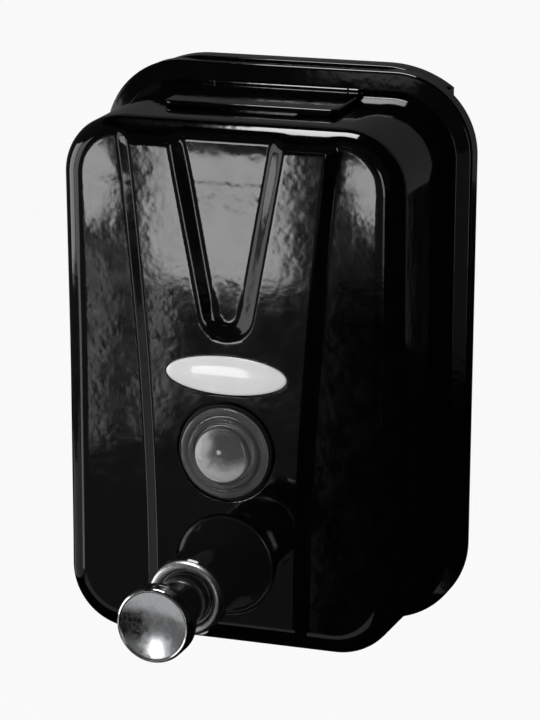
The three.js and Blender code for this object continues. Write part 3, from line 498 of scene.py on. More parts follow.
def rod(name, radius, start_point, end_point, sides=40, edge=0.0):
    """A round rod between two points in millimetres, with rounded rims."""
    first, last = Vector(start_point) * MM, Vector(end_point) * MM
    span = (last - first).length
    turn = (last - first).to_track_quat("Z", "Y").to_matrix()
    profile = [(0.0, 0.0), (radius * MM, 0.0, edge * MM), (radius * MM, span, edge * MM), (0.0, span)]

    def place(r, along, angle):
        return first + turn @ Vector((r * math.cos(angle), r * math.sin(angle), along))

    return lathed(name, filleted(profile, 4), sides, place)


def box_solid(name, low, high):
    """A plain box between two corners in millimetres, for cutting and joining."""
    xs, ys, zs = ((a * MM, b * MM) for a, b in zip(low, high))
    corners = [(x, y, z) for x in xs for y in ys for z in zs]
    faces = [(0, 1, 3, 2), (4, 6, 7, 5), (0, 4, 5, 1), (2, 3, 7, 6), (0, 2, 6, 4), (1, 5, 7, 3)]
    return mesh_object(name, corners, faces)


def stack(name, layers, ends=None):
    """Skins layers of equal point counts, in metres, into a closed solid."""
    vertices = [v for layer in layers for v in layer]
    count = len(layers[0])
    last = len(vertices) - count
    faces = []
    for a in range(0, last, count):
        for k in range(count):
            n = (k + 1) % count
            faces.append((a + k, a + n, a + count + n, a + count + k))
    faces += ends or [tuple(range(count)), tuple(range(last, last + count))]
    return mesh_object(name, vertices, faces)


# Outlines: half width, top, bottom, top radius, bottom radius, all in metres


def inset(outline, by):
    w, top, bottom, rt, rb = outline
    return (w - by, top - by, bottom + by, rt - by, rb - by)


def mix(a, b, share):
    return tuple(p + (q - p) * share for p, q in zip(a, b))


def body_outlines():
    body = settings().body
    corners = (body.top_corner, body.bottom_corner)
    front = (body.front_half_width, body.front_top, body.front_bottom, *corners)
    rear = (body.rear_half_width, body.rear_top, body.rear_bottom, *corners)
    return front, rear


# The flange's outline, then in millimetres its reach beyond the wall, the depth where it begins and its back
FLANGE = (64.5 * MM, 93.7 * MM, -94.6 * MM, 27.4 * MM, 28.0 * MM)
FLANGE_REACH, FOLD_DEPTH, FLANGE_BACK = 7.3, 20.2, 9.5

# Where the walls lean: depths of the two ends, and heights where lean and widening begin
WALL_BACK, WALL_FRONT = 21.0 * MM, 65.2 * MM
LEAN_START, WIDE_START = -7.0 * MM, -60.0 * MM


def lean_at(height):
    """How far the front stands forward at a height: eased in, then even."""
    body = settings().body
    ease = body.lean_height - LEAN_START
    if height < LEAN_START:
        return 0.0
    if height < body.lean_height:
        return body.lean_slope * (height - LEAN_START) ** 2 / (2 * ease)
    return body.lean_slope * (height - LEAN_START - ease / 2)


def swelled(point):
    """Leans a point of the pressed shell forward and widens it, more the nearer it is to the front."""
    body = settings().body
    x, y, z = point
    share = min(max((-y - WALL_BACK) / (WALL_FRONT - WALL_BACK), 0.0), 1.0)
    wide = share * body.widening * max(0.0, z - WIDE_START) / body.front_half_width
    return (x * (1.0 + wide), y - share * lean_at(z), z)


def outline_points(outline, straight=14, corner=12):
    """Places round a rounded rectangle, with the same steps on every outline."""
    w, top, bottom, rt, rb = outline
    run = [k / straight for k in range(straight)]
    turns = [k / corner * math.pi / 2 for k in range(corner)]
    return [
        *((-(w - rt) + 2 * (w - rt) * s, top) for s in run),
        *((w - rt + rt * math.sin(t), top - rt + rt * math.cos(t)) for t in turns),
        *((w, top - rt + (bottom + rb - top + rt) * s) for s in run),
        *((w - rb + rb * math.cos(t), bottom + rb - rb * math.sin(t)) for t in turns),
        *(((w - rb) - 2 * (w - rb) * s, bottom) for s in run),
        *((-(w - rb) - rb * math.sin(t), bottom + rb - rb * math.cos(t)) for t in turns),
        *((-w, bottom + rb + (top - rt - bottom - rb) * s) for s in run),
        *((-(w - rt) - rt * math.cos(t), top - rt + rt * math.sin(t)) for t in turns),
    ]


def ladder(places, first):
    """Faces that close a symmetric outline in strips from side to side, so that it can be bent."""
    rows = []
    for z, x, k in sorted((-z, x, first + k) for k, (x, z) in enumerate(places)):
        if rows and abs(rows[-1][0] - z) < 1e-6:
            rows[-1][1].append((x, k))
        else:
            rows.append((z, [(x, k)]))
    levels = [[k for _, k in sorted(row)] for _, row in rows]
    return [tuple(upper + lower[::-1]) for upper, lower in zip(levels, levels[1:])]


# Housing


_steps, _profile = {}, []

# Raised face: heights of its foot, its bend and its top, and its half widths at foot and top
PAD_FOOT, PAD_BEND, PAD_TOP = -70.0 * MM, -8.0 * MM, 86.5 * MM
PAD_FOOT_HALF, PAD_TOP_HALF = 24.0 * MM, 34.0 * MM

# Height where the front's dish begins to grow and the span over which it does, and the steps of its
# corners and of its rounded edge
DISH_LOW, DISH_SPAN = 30 * MM, 50 * MM
CORNER_STEPS, EDGE_STEPS = 14, 14


def soft_step(t, softness):
    """0 before 0, 1 after 1, straight between, with both folds rounded over a softness each way."""
    if softness not in _steps:
        span = np.arange(-1.0, 2.0, 0.002)
        kernel = np.hanning(2 * int(softness / 0.002) + 3)
        padded = np.pad(np.clip(span, 0.0, 1.0), len(kernel), "edge")
        rounded = np.convolve(padded, kernel / kernel.sum(), "same")
        _steps[softness] = (span, rounded[len(kernel) : -len(kernel)])
    return np.interp(t, *_steps[softness])


def raised_share(x, z):
    """How far the face is raised at a place: 1 on the raised face, 0 on the three panels."""
    body = settings().body
    x = np.abs(x)
    # half width of the raised face: straight below, and then a quadratic bow that opens towards the top
    rise = np.clip((z - PAD_FOOT) / (PAD_TOP - PAD_FOOT), 0.0, 1.2)
    k = (PAD_BEND - PAD_FOOT) / (PAD_TOP - PAD_FOOT)
    a = 1.0 - 2.0 * k
    s = np.where(rise > 0, (-k + np.sqrt(np.maximum(k * k + a * rise, 0.0))) / a, 0.0)
    edge = PAD_FOOT_HALF + (PAD_TOP_HALF - PAD_FOOT_HALF) * s * s
    outer = 1.0 - soft_step((x - edge) / body.side_ramp, body.fold / body.side_ramp)
    # the middle panel: slanted sides that meet the round lower end
    r, lean = body.valley_radius, body.valley_lean
    up = z - body.valley_centre
    along = x * math.sin(lean) + up * math.cos(lean)
    beside = x * math.cos(lean) - up * math.sin(lean) - r
    around = np.hypot(x, up) - r
    distance = np.where(along > 0, beside, around)
    valley = soft_step(1.0 + distance / body.valley_ramp, body.valley_fold / body.valley_ramp)
    return outer * valley


def edge_distance(x, z, outline):
    """Distance of places inside a rounded rectangle from its outline."""
    w, top, bottom, rt, rb = outline
    x = np.abs(x)
    middle = (top + bottom) / 2
    radius = np.where(z > middle, rt, rb)
    dz = np.where(z > middle, z - (top - rt), (bottom + rb) - z)
    dx = x - (w - radius)
    straight = np.minimum(radius - dx, radius - dz)
    corner = radius - np.hypot(np.maximum(dx, 0), np.maximum(dz, 0))
    return np.where((dx > 0) & (dz > 0), corner, straight)


def edge_profile(share):
    """Rise of the rounded edge from 0 to 1 against the share of its reach, its crest softened."""
    if not _profile:
        t = np.arange(0.0, 3.0, 0.005)
        round_ = np.sqrt(np.maximum(1.0 - (1.0 - np.minimum(t, 1.0)) ** 2, 0.0))
        width = int(settings().body.crest / settings().body.edge_rise / 0.005)
        kernel = np.hanning(2 * width + 3)
        kernel /= kernel.sum()
        padded = np.concatenate([np.zeros(width + 1), round_, np.ones(width + 1)])
        wide = np.convolve(padded, kernel, "same")[width + 1 : -width - 1]
        # the softening is kept to the crest, so the rim's own place on the wall holds
        ease = np.clip((t - 0.45) / 0.35, 0.0, 1.0)
        _profile.extend((t, round_ + (wide - round_) * ease))
    return np.interp(share, *_profile)


def upward_share(x, z, outline):
    """1 beside the top edge, 0 beside the other edges, and blended round the top corners."""
    w, top, _, rt, _ = outline
    dx, dz = np.abs(x) - (w - rt), z - (top - rt)
    turn = np.arctan2(np.maximum(dz, 0.0), np.maximum(dx, 1e-6)) / (math.pi / 2)
    return turn * turn * (3.0 - 2.0 * turn)


def front_depth(x, z):
    """Depth of the pressed front at a place, from its distance to the outline."""
    body = settings().body
    front, _ = body_outlines()
    d = np.maximum(edge_distance(x, z, front), 0.0)
    reach = body.side_reach + (body.top_reach - body.side_reach) * upward_share(x, z, front)
    panels = WALL_FRONT + body.edge_rise * edge_profile(d / reach)
    # the relief rises out of the rounded edge, so its ramps run out in points there
    fade = soft_step((d - body.fade_start) / body.fade_reach, 0.25)
    raised = raised_share(x, z) * np.where(d > 0.05 * MM, fade, 0.0)
    # the sheet springs back into a shallow dish inside its rim, deepest towards the top
    rim = reach + (body.fade_start + body.fade_reach - body.top_reach) * raised
    inward = np.clip((d - rim) / body.dish_reach, 0.0, 1.0)
    height = np.clip((z - DISH_LOW) / DISH_SPAN, 0.0, 1.0)
    strength = body.dish_slope * (0.06 + 0.94 * height * height * (3.0 - 2.0 * height))
    dish = 0.5 * body.dish_reach * np.tan(strength) * (1.0 - (1.0 - inward) ** 2)
    # the folded pads are stiffer than the panels between them, so they are dished less
    return panels + body.relief * raised - dish * (1.0 - 0.7 * raised)


def front_lines(half, fine_from, fine_to, fine, coarse):
    """Grid lines from -half to half, close together where the folds are."""
    lines, here = [0.0], 0.0
    while here < half - coarse * 0.6:
        here += fine if fine_from <= here < fine_to else coarse
        lines.append(min(here, half))
    lines[-1] = half
    return [-v for v in reversed(lines[1:])] + lines


def housing_outer():
    """The pressed shell's outside: a front grid, its rounded edge, the walls and the flange."""
    body = settings().body
    front, rear = body_outlines()
    inner = inset(front, body.side_reach)
    w, top, bottom, rt, rb = inner
    # straight columns end where the larger corner begins
    straight = w - rb
    spacing = 0.45 * MM
    lines = front_lines(w, fine_from=4 * MM, fine_to=41 * MM, fine=spacing, coarse=1.3 * MM)
    middle = [x for x in lines if abs(x) < straight - 0.2 * MM]
    corner = [k / CORNER_STEPS for k in range(1, CORNER_STEPS + 1)]
    upright = np.arange(bottom + rb, top - rt, 0.8 * MM).tolist()[:-1] + [top - rt]
    columns = [-straight - rb * s for s in reversed(corner)] + [-straight] + middle
    columns += [straight] + [straight + rb * s for s in corner]
    rows = [bottom + rb - rb * s for s in reversed(corner)] + upright + [top - rt + rt * s for s in corner]
    n, m, c = len(columns), len(rows), CORNER_STEPS

    def grid_place(x, j):
        z = rows[j]
        a = max(0.0, (abs(x) - straight) / rb)
        if a > 0 and (j < c or j > m - 1 - c):
            radius = rb if j < c else rt
            b = (bottom + rb - z) / rb if j < c else (z - (top - rt)) / rt
            reach = max(a, b)
            turn = (math.pi / 4) * (b / a) if a >= b else math.pi / 2 - (math.pi / 4) * (a / b)
            # the top corner is tighter than the bottom one: columns between them are drawn over smoothly
            px = min(straight + (w - radius - straight) * a + radius * reach * math.cos(turn), w)
            rise = radius * reach * math.sin(turn)
            return (math.copysign(px, x), bottom + rb - rise if j < c else top - rt + rise)
        return (x, z)

    # column by column; the border runs along the foot, up the right, back along the top and down the left
    vertices = [grid_place(x, j) for x in columns for j in range(m)]
    faces = [(k, k + m, k + m + 1, k + 1) for i in range(n - 1) for k in range(i * m, i * m + m - 1)]
    ring = [*range(0, n * m, m), *range((n - 1) * m + 1, n * m)]
    ring += [*range((n - 1) * m - 1, 0, -m), *range(m - 2, 0, -1)]

    flat = np.array(vertices)
    depth = front_depth(flat[:, 0], flat[:, 1])
    solid = [(x, -d, z) for (x, z), d in zip(vertices, depth)]

    # directions out of the border, taken from how a point lies on the inner outline
    def outward(x, z):
        radius = rt if z > 0 else rb
        cz = top - rt if z > 0 else bottom + rb
        dx, dz = abs(x) - (w - radius), (z - cz) if z > 0 else (cz - z)
        if dx > 1e-7 and dz > 1e-7:
            away = math.hypot(dx, dz)
            return math.copysign(dx / away, x), math.copysign(dz / away, z)
        return (math.copysign(1.0, x), 0.0) if dx >= dz else (0.0, math.copysign(1.0, z))

    edge = [vertices[k] for k in ring]
    ways = [outward(*place) for place in edge]

    def add_ring(places, depths):
        nonlocal ring
        first = len(solid)
        solid.extend((x, -d, z) for (x, z), d in zip(places, depths))
        new = list(range(first, first + len(places)))
        for k in range(len(ring)):
            q = (k + 1) % len(ring)
            faces.append((ring[k], new[k], new[q], ring[q]))
        ring = new

    for step in range(1, EDGE_STEPS + 1):
        out = body.side_reach * math.sin((step / EDGE_STEPS) * math.pi / 2)
        places = [(x + wx * out, z + wz * out) for (x, z), (wx, wz) in zip(edge, ways)]
        array = np.array(places)
        last = step == EDGE_STEPS
        add_ring(places, [WALL_FRONT] * len(places) if last else front_depth(array[:, 0], array[:, 1]).tolist())

    # behind the edge each ring follows an outline between the front, the rear and the flange
    behind = []
    for share in (0.25, 0.5, 0.75, 1.0):
        behind.append((mix(front, rear, share), WALL_FRONT + (FOLD_DEPTH * MM - WALL_FRONT) * share))
    behind += [(mix(rear, FLANGE, share), d * MM) for share, d in flange_profile()]
    for outline, d in behind:
        add_ring([on_outline(p, way, inner, outline) for p, way in zip(edge, ways)], [d] * len(ring))
    faces.append(tuple(reversed(ring)))
    return mesh_object("housing_shell", [swelled(v) for v in solid], faces, 40.0)


def on_outline(place, way, source, target):
    """Moves a place from one outline to another: corners by their angle, straight runs by share."""
    (x, z), (wx, wz) = place, way
    w0, top0, bottom0, rt0, rb0 = source
    w, top, bottom, rt, rb = target
    upper = z > 0
    radius, before = (rt, rt0) if upper else (rb, rb0)
    if wx and wz:
        centre = top - radius if upper else bottom + radius
        return (math.copysign(w - radius, x) + radius * wx, centre + radius * wz)
    if wx:
        share = (z - bottom0 - rb0) / (top0 - rt0 - bottom0 - rb0)
        return (math.copysign(w, x), bottom + rb + (top - rt - bottom - rb) * share)
    return (x * (w - radius) / (w0 - before), top if upper else bottom)


def flange_profile():
    """Shares of the flange's reach and depths in millimetres, from the wall to the back edge."""
    corners = [(0.0, FOLD_DEPTH), (0.0, 18.6, 0.9), (2.0, 17.0, 0.7), (FLANGE_REACH, 16.2, 0.9)]
    corners.append((FLANGE_REACH, FLANGE_BACK))
    return [(out / FLANGE_REACH, depth) for out, depth in filleted(corners, 7)[1:]]


def housing_cavity():
    """The hollow inside the sheet."""
    body = settings().body
    front, rear = body_outlines()
    sheet = body.sheet
    radius = body.edge_rise - sheet
    rings = []
    for step in range(9):
        angle = (step / 8) * math.pi / 2
        rings.append((inset(front, sheet + radius * (1 - math.sin(angle))), WALL_FRONT + radius * math.cos(angle)))
    inner, reach = inset(rear, sheet), inset(FLANGE, sheet)
    rings += [(inner, 19.2 * MM), (inner, 17.2 * MM), (mix(inner, reach, 0.35), 16.0 * MM)]
    rings += [(reach, 15.0 * MM), (reach, 5.0 * MM)]
    places = [outline_points(outline) for outline, _ in rings]
    layers = [[swelled((x, -depth, z)) for x, z in ring] for ring, (_, depth) in zip(places, rings)]
    ends = ladder(places[0], 0) + ladder(places[-1], (len(rings) - 1) * len(places[0]))
    return stack("cavity", layers, ends)


def plan_outline(half, near, far, near_radius, far_radius, steps=6):
    """A plan outline in millimetres from (x, depth) places, corner by corner."""
    out = []
    for cx, cy, r, begin in (
        (half - near_radius, near + near_radius, near_radius, -90),
        (half - far_radius, far - far_radius, far_radius, 0),
        (-half + far_radius, far - far_radius, far_radius, 90),
        (-half + near_radius, near + near_radius, near_radius, 180),
    ):
        for k in range(steps + 1):
            angle = math.radians(begin + 90 * k / steps)
            out.append((cx + r * math.cos(angle), cy + r * math.sin(angle)))
    return out


# Hinge, in millimetres: depth and height of its axis, radii of barrel and bores, half width of the barrel,
# and the sides of the lugs beside it
HINGE_DEPTH, HINGE_HEIGHT = 20.461, 86.819
BARREL_RADIUS, BORE_RADIUS, BARREL_HALF = 1.5, 0.95, 23.0
LUG_INNER, LUG_OUTER = 23.3, 26.8

# Top wall: its slope, and in millimetres the depth and height of the hinge's foot on it
SLOPE = math.atan((85.0 - 83.5) / (65.2 - 21.0))
FOOT_DEPTH, FOOT_HEIGHT = 20.4, 85.0 - math.tan(SLOPE) * (20.4 - 21.0)


def hinge_rod(name, radius, left, right, sides=40, edge=0.0):
    """A rod along the hinge's axis."""
    return rod(name, radius, *((x, -HINGE_DEPTH, HINGE_HEIGHT) for x in (left, right)), sides, edge)


def seat_cutter(name, radius, depth, height, lip=0.35):
    """Cuts a round seat with a softly pressed lip."""
    profile = [(0.0, -depth), (radius, -depth, 0.15)]
    for k in range(6):
        angle = k / 5 * math.pi / 2
        profile.append((radius + lip * (1 - math.cos(angle)), -lip + lip * math.sin(angle)))
    profile += [(radius + lip, 3.0), (0.0, 3.0)]
    return turned(name, profile, height, sides=128)


def hole_cutter(name, radius, back, front, height):
    return turned(name, [(0.0, back), (radius, back), (radius, front), (0.0, front)], height, sides=96)


class DISPENSER_OT_housing(bpy.types.Operator):
    """Builds the pressed tank with its relief, its seats and the flange."""

    bl_idname = "dispenser.housing"
    bl_label = "Housing"

    def execute(self, context):
        pump = settings().pump
        shell = housing_outer()
        cutters = [
            housing_cavity(),
            seat_cutter("window_seat", 16.6, 1.0, pump.sight_height),
            hole_cutter("window_hole", 12.3, -6.0, 2.0, pump.sight_height),
            seat_cutter("pump_seat", 16.9, 0.8, pump.pump_height),
            hole_cutter("pump_hole", 12.3, -6.0, 2.0, pump.pump_height),
            badge_cutter(),
            fill_cutter(),
            hinge_rod("hinge_groove", 1.8, -LUG_INNER, LUG_INNER),
        ]
        carve(shell, cutters, 40.0)
        lugs = []
        for side in (-1, 1):
            inner, outer = side * LUG_INNER, side * LUG_OUTER
            lugs.append(hinge_rod(f"lug_{side}", BARREL_RADIUS, inner, outer, edge=0.25))
            low, high = sorted((inner, outer))
            lugs.append(box_solid(f"lug_foot_{side}", (low, -21.9, 84.3), (high, -18.0, HINGE_HEIGHT)))
        join(shell, lugs, 40.0)
        carve(shell, [hinge_rod("pin_bore", BORE_RADIUS, -26.5, 26.5, 24)], 40.0)
        place_piece(shell, powder_coat, "dispenser", "black_coat", "housing")
        return {"FINISHED"}


def oval(half_length, half_height, height, proud, sides=128):
    """A ring of places on an oval round the badge's centre, in metres."""
    face = settings().body.face_depth
    a, b = half_length * MM, half_height * MM
    turns = [2 * math.pi * k / sides for k in range(sides)]
    return [(a * math.cos(t), -face - proud * MM, height + b * math.sin(t)) for t in turns]


# Badge, in millimetres: half length and half height of its oval, and of the seat cut for it
BADGE_OVAL, BADGE_SEAT = (20.5, 6.35), (20.8, 6.65)


def badge_cutter():
    """Cuts the badge's shallow seat."""
    height = settings().pump.badge_height
    return stack("badge_seat", [oval(*BADGE_SEAT, height, proud) for proud in (-0.5, 2.0)])


def fill_cutter():
    """Cuts the filling hole through the top wall."""
    plan = plan_outline(20.0, 28.0, 48.5, 4.0, 4.0)
    return stack("fill_cut", [[(x * MM, -y * MM, z * MM) for x, y in plan] for z in (79.0, 90.0)])


# Wall plate: half width where its sides are cut straight, top, bottom and corner, in millimetres
PLATE_HALF, PLATE_TOP, PLATE_BOTTOM = 53.7, 94.6, -90.0
PLATE_CORNER, PLATE_CORNER_X = 38.0, 31.4


def plate_layer(by, depth):
    """The wall plate's outline set in by a length, at a depth."""
    radius = PLATE_CORNER - by
    turn = math.asin((PLATE_HALF - by - PLATE_CORNER_X) / radius)
    arc = [(radius * math.sin(turn * k / 14), radius * math.cos(turn * k / 14)) for k in range(15)]
    high, low = PLATE_TOP - PLATE_CORNER, PLATE_BOTTOM + PLATE_CORNER
    places = [(PLATE_CORNER_X + x, high + z) for x, z in arc]
    places += [(PLATE_CORNER_X + x, low - z) for x, z in reversed(arc)]
    places += [(-PLATE_CORNER_X - x, low - z) for x, z in arc]
    places += [(-PLATE_CORNER_X - x, high + z) for x, z in reversed(arc)]
    return [(x * MM, -depth * MM, z * MM) for x, z in places]


class DISPENSER_OT_back(bpy.types.Operator):
    """Builds the wall plate and finishes the back cover."""

    bl_idname = "dispenser.back"
    bl_label = "Back"

    def execute(self, context):
        bend, sheet, front = 1.4, 1.5, 9.2
        rings = []
        for step in range(6):
            angle = step / 5 * math.pi / 2
            rings.append(plate_layer(bend * (1 - math.sin(angle)), bend * (1 - math.cos(angle))))
        edge = 0.3
        rim = [(0, front - edge), (edge, front), (sheet - edge, front), (sheet, front - edge), (sheet, sheet)]
        rings += [plate_layer(by, depth) for by, depth in rim]
        plate = stack("wall_plate_tray", rings)
        brackets = []
        for side in (-1, 1):
            left, right = side * 24 - 9, side * 24 + 9
            brackets.append(box_solid(f"shelf_{side}", (left, -11.9, 29.7), (right, -0.75, 31.2)))
            brackets.append(box_solid(f"catch_{side}", (left, -11.9, 29.7), (right, -10.4, 35.7)))
        join(plate, brackets)
        holes = []
        for x in (-36, 36):
            for z in (-62, 62):
                holes.append(rod("screw_hole", 2.4, (x, 3, z), (x, -3, z), 32))
                holes.append(cone_cutter(x, z))
        carve(plate, holes)
        place_piece(plate, powder_coat, "dispenser", "black_coat", "wall_plate")
        dress(powder_coat, "rear_cover")
        return {"FINISHED"}


def cone_cutter(x, z):
    """Countersink of a wall screw hole, on the plate's front."""
    turns = [2 * math.pi * k / 32 for k in range(32)]
    layers = [
        [((x + radius * math.cos(t)) * MM, -depth * MM, (z + radius * math.sin(t)) * MM) for t in turns]
        for radius, depth in ((2.4, 0.4), (4.2, 1.5), (4.2, 2.5))
    ]
    return stack("countersink", layers)


def on_top_wall(layers):
    """Lays layers of (x, forward, up) in millimetres on the sloping top wall behind the hinge's foot."""
    c, s = math.cos(SLOPE), math.sin(SLOPE)
    return [
        [(x * MM, -(FOOT_DEPTH + f * c + u * s) * MM, (FOOT_HEIGHT - f * s + u * c) * MM) for x, f, u in layer]
        for layer in layers
    ]


class DISPENSER_OT_lid(bpy.types.Operator):
    """Builds the filling lid and finishes its seal and the hinge pin."""

    bl_idname = "dispenser.lid"
    bl_label = "Lid"

    def execute(self, context):
        half, near, far, corner, rear_corner = 29.5, 2.6, 33.1, 3.2, 1.2
        low, high, edge = 0.3, 2.3, 0.8
        turns = [k / 5 * math.pi / 2 for k in range(6)]
        rims = [(edge * (1 - math.sin(t)), low + edge * (1 - math.cos(t))) for t in turns]
        rims += [(edge * (1 - math.cos(t)), high - edge * (1 - math.sin(t))) for t in turns]
        layers = []
        for by, up in rims:
            corners = max(rear_corner - by, 0.3), corner - by
            plan = plan_outline(half - by, near + by, far - by, *corners, 8)
            layers.append([(x, f, up) for x, f in plan])
        lid = stack("lid_plate", on_top_wall(layers))
        recess = plan_outline(half - 1.8, near + 1.8, far - 1.8, 0.6, 1.6)
        carve(lid, [stack("lid_recess", on_top_wall([[(x, f, u) for x, f in recess] for u in (-2.0, 1.3)]))])
        tongue = near + 0.9
        leaf = [(BARREL_HALF, 0.0), (BARREL_HALF, tongue), (-BARREL_HALF, tongue), (-BARREL_HALF, 0.0)]
        leaf_solid = stack("lid_leaf", on_top_wall([[(x, f, u) for x, f in leaf] for u in (0.6, 1.8)]))
        join(lid, [leaf_solid, hinge_rod("lid_barrel", BARREL_RADIUS, -BARREL_HALF, BARREL_HALF, edge=0.2)])
        carve(lid, [hinge_rod("lid_bore", BORE_RADIUS, -30, 30, 24)])
        place_piece(lid, powder_coat, "filling_lid", "black_coat", "lid")
        dress(seal_rubber, "lid_gasket")
        dress(drawn_steel, "hinge_pin")
        return {"FINISHED"}


class DISPENSER_OT_badge(bpy.types.Operator):
    """Builds the bare oval badge."""

    bl_idname = "dispenser.badge"
    bl_label = "Badge"

    def execute(self, context):
        height = settings().pump.badge_height
        # share of the oval and height over the face, from the back to the middle of the dome
        dome = [(0.02, -0.2), (1.0, -0.2), (1.0, 0.3), (0.992, 0.5), (0.965, 0.72), (0.92, 0.88), (0.84, 1.0)]
        dome += [(0.7, 1.1), (0.5, 1.16), (0.3, 1.19), (0.02, 1.2)]
        a, b = BADGE_OVAL
        badge = stack("badge_dome", [oval(a * share, b * share, height, proud) for share, proud in dome])
        place_piece(badge, domed_badge, "dispenser", "white_plastic", "badge")
        return {"FINISHED"}


class DISPENSER_OT_window(bpy.types.Operator):
    """Builds the stepped sight window and finishes its seal and nut."""

    bl_idname = "dispenser.window"
    bl_label = "Sight window"

    def execute(self, context):
        height = settings().pump.sight_height
        rim = settings().pump.window_radius / MM
        # the shallow dome, a groove, a step, a second groove and the rim, then the tail and the inside
        profile = [(0.0, 6.3), (3.0, 6.2), (6.0, 5.85), (8.2, 5.35), (8.9, 5.1, 0.3)]
        profile += [(9.2, 3.3, 0.2), (9.9, 3.25, 0.2), (10.2, 3.9, 0.25), (11.6, 3.7, 0.4)]
        profile += [(12.0, 1.9, 0.2), (12.8, 1.9, 0.2), (13.2, 2.6, 0.3), (rim, 2.3, 0.9), (rim, 0.9, 0.15)]
        profile += [(12.0, 0.9), (12.0, -10.1, 0.3), (10.3, -10.1, 0.3)]
        profile += [(10.3, 0.9, 0.8), (8.3, 3.9, 0.6), (0.0, 3.9)]
        lens = turned("window_lens", profile, height, sides=128)
        place_piece(lens, clear_window, "dispenser", "clear_plastic", "sight_lens")
        profile = [(12.3, -0.7), (16.0, -0.7, 0.2), (16.0, 0.6, 0.35), (12.3, 0.6)]
        seal = turned("window_seal", profile, height)
        place_piece(seal, seal_rubber, "dispenser", "black_rubber", "sight_gasket")
        dress(satin_moulding, "sight_nut")
        return {"FINISHED"}


class DISPENSER_OT_sleeve(bpy.types.Operator):
    """Builds the flared pump sleeve and its chrome ring, and finishes what is inside."""

    bl_idname = "dispenser.sleeve"
    bl_label = "Pump sleeve"

    def execute(self, context):
        height = settings().pump.pump_height
        thin = settings().pump.sleeve_radius / MM
        # the foot flange, the flare from its wide foot to the plain tube, the lip, then the inside and the tail
        wide, flare_foot, flare_end = 15.7, 1.0, 20.5
        profile = [(16.4, -0.5, 0.15), (16.4, 0.7, 0.3), (15.85, 0.75, 0.2)]
        for share in (k / 14 for k in range(15)):
            profile.append((thin + (wide - thin) * (1 - share) ** 2, flare_foot + (flare_end - flare_foot) * share))
        profile += [(thin, 35.6, 0.6), (12.0, 36.5, 0.2), (10.4, 36.5, 0.2), (10.4, 28.7), (9.4, 28.7)]
        profile += [(9.4, -13.5), (12.0, -13.5, 0.4), (12.0, -0.5)]
        sleeve = turned("pump_sleeve_flare", profile, height, sides=128)
        drop = rod("nozzle_hole", 2.9, (0, -98, -90), (0, -98, height / MM - 10.2), 32)
        carve(sleeve, [drop])
        place_piece(sleeve, gloss_moulding, "dispenser", "gloss_black", "pump_sleeve")
        profile = [(9.1, 36.8, 0.2), (12.25, 36.8, 0.3), (12.25, 38.9, 1.5), (9.1, 38.9, 1.4)]
        ring = turned("chrome_ring", profile, height, sides=128)
        place_piece(ring, rubbed_plate, "dispenser", "chrome_trim", "collar_ring")
        dress(satin_moulding, "pump_nut")
        dress(seal_rubber, "pump_gasket", "outlet_flap")
        dress(natural_moulding, "stem_guide", "inlet_valve", "pickup_tube", "outlet_nozzle")
        dress(drawn_steel, "inlet_ball")
        return {"FINISHED"}


class DISPENSER_OT_plunger(bpy.types.Operator):
    """Builds the button, its collar and the stem, and finishes the piston."""

    bl_idname = "dispenser.plunger"
    bl_label = "Plunger"

    def execute(self, context):
        height = settings().pump.pump_height
        radius = settings().pump.knob_radius / MM
        profile = [(0.0, 63.4), (3.7, 63.4, 0.3), (3.7, 58.7), (8.4, 58.7, 0.3)]
        profile += [(8.4, 24.3), (4.0, 24.3), (4.0, 21.3), (0.0, 21.3)]
        stem = turned("stem_rod", profile, height)
        place_piece(stem, gloss_moulding, "plunger", "gloss_black", "push_stem")
        profile = [(4.0, 59.0), (radius, 59.0, 0.5), (radius, 61.5, 0.5), (4.0, 61.5)]
        collar = turned("button_collar", profile, height, sides=128)
        place_piece(collar, gloss_moulding, "plunger", "satin_black", "knob_collar")
        # the shallow dish and its raised rim, then the back
        middle, dish_radius, dish = 65.1, 10.4, 0.7
        profile = [(0.0, middle)]
        profile += [(dish_radius * k / 8, middle + dish * (k / 8) ** 2) for k in range(1, 9)]
        profile += [(10.75, 65.85, 0.3), (11.2, 66.1, 0.3), (radius, 65.6, 0.6), (radius, 61.8, 0.4)]
        profile += [(4.0, 61.8), (4.0, 63.7), (0.0, 63.7)]
        knob = turned("chrome_button", profile, height, sides=160)
        place_piece(knob, chrome_plate, "plunger", "chrome_trim", "push_knob")
        dress(natural_moulding, "piston")
        dress(seal_rubber, "piston_seal")
        return {"FINISHED"}


class DISPENSER_OT_spring(bpy.types.Operator):
    """Builds the return spring as it stands at rest."""

    bl_idname = "dispenser.spring"
    bl_label = "Return spring"

    def execute(self, context):
        height = settings().pump.pump_height
        low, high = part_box("return_spring")
        wire, coil, turns, around = 0.55 * MM, 6.0 * MM, 8, 8
        steps = turns * 28
        layers = []
        for i in range(steps + 1):
            t = i / steps
            angle = 2 * math.pi * turns * t
            y = high.y - wire + (low.y - high.y + 2 * wire) * t
            layer = []
            for k in range(around):
                a = 2 * math.pi * k / around
                r = coil + wire * math.cos(a)
                layer.append((r * math.cos(angle), y + wire * math.sin(a), height + r * math.sin(angle)))
            layers.append(layer)
        spring = stack("spring_wire", layers)
        place_piece(spring, drawn_steel, "dispenser", "steel", "return_spring")
        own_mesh(spring)
        return {"FINISHED"}


# Stage


# Distance in metres of the cards square to the front
CARD_AHEAD = 1.3


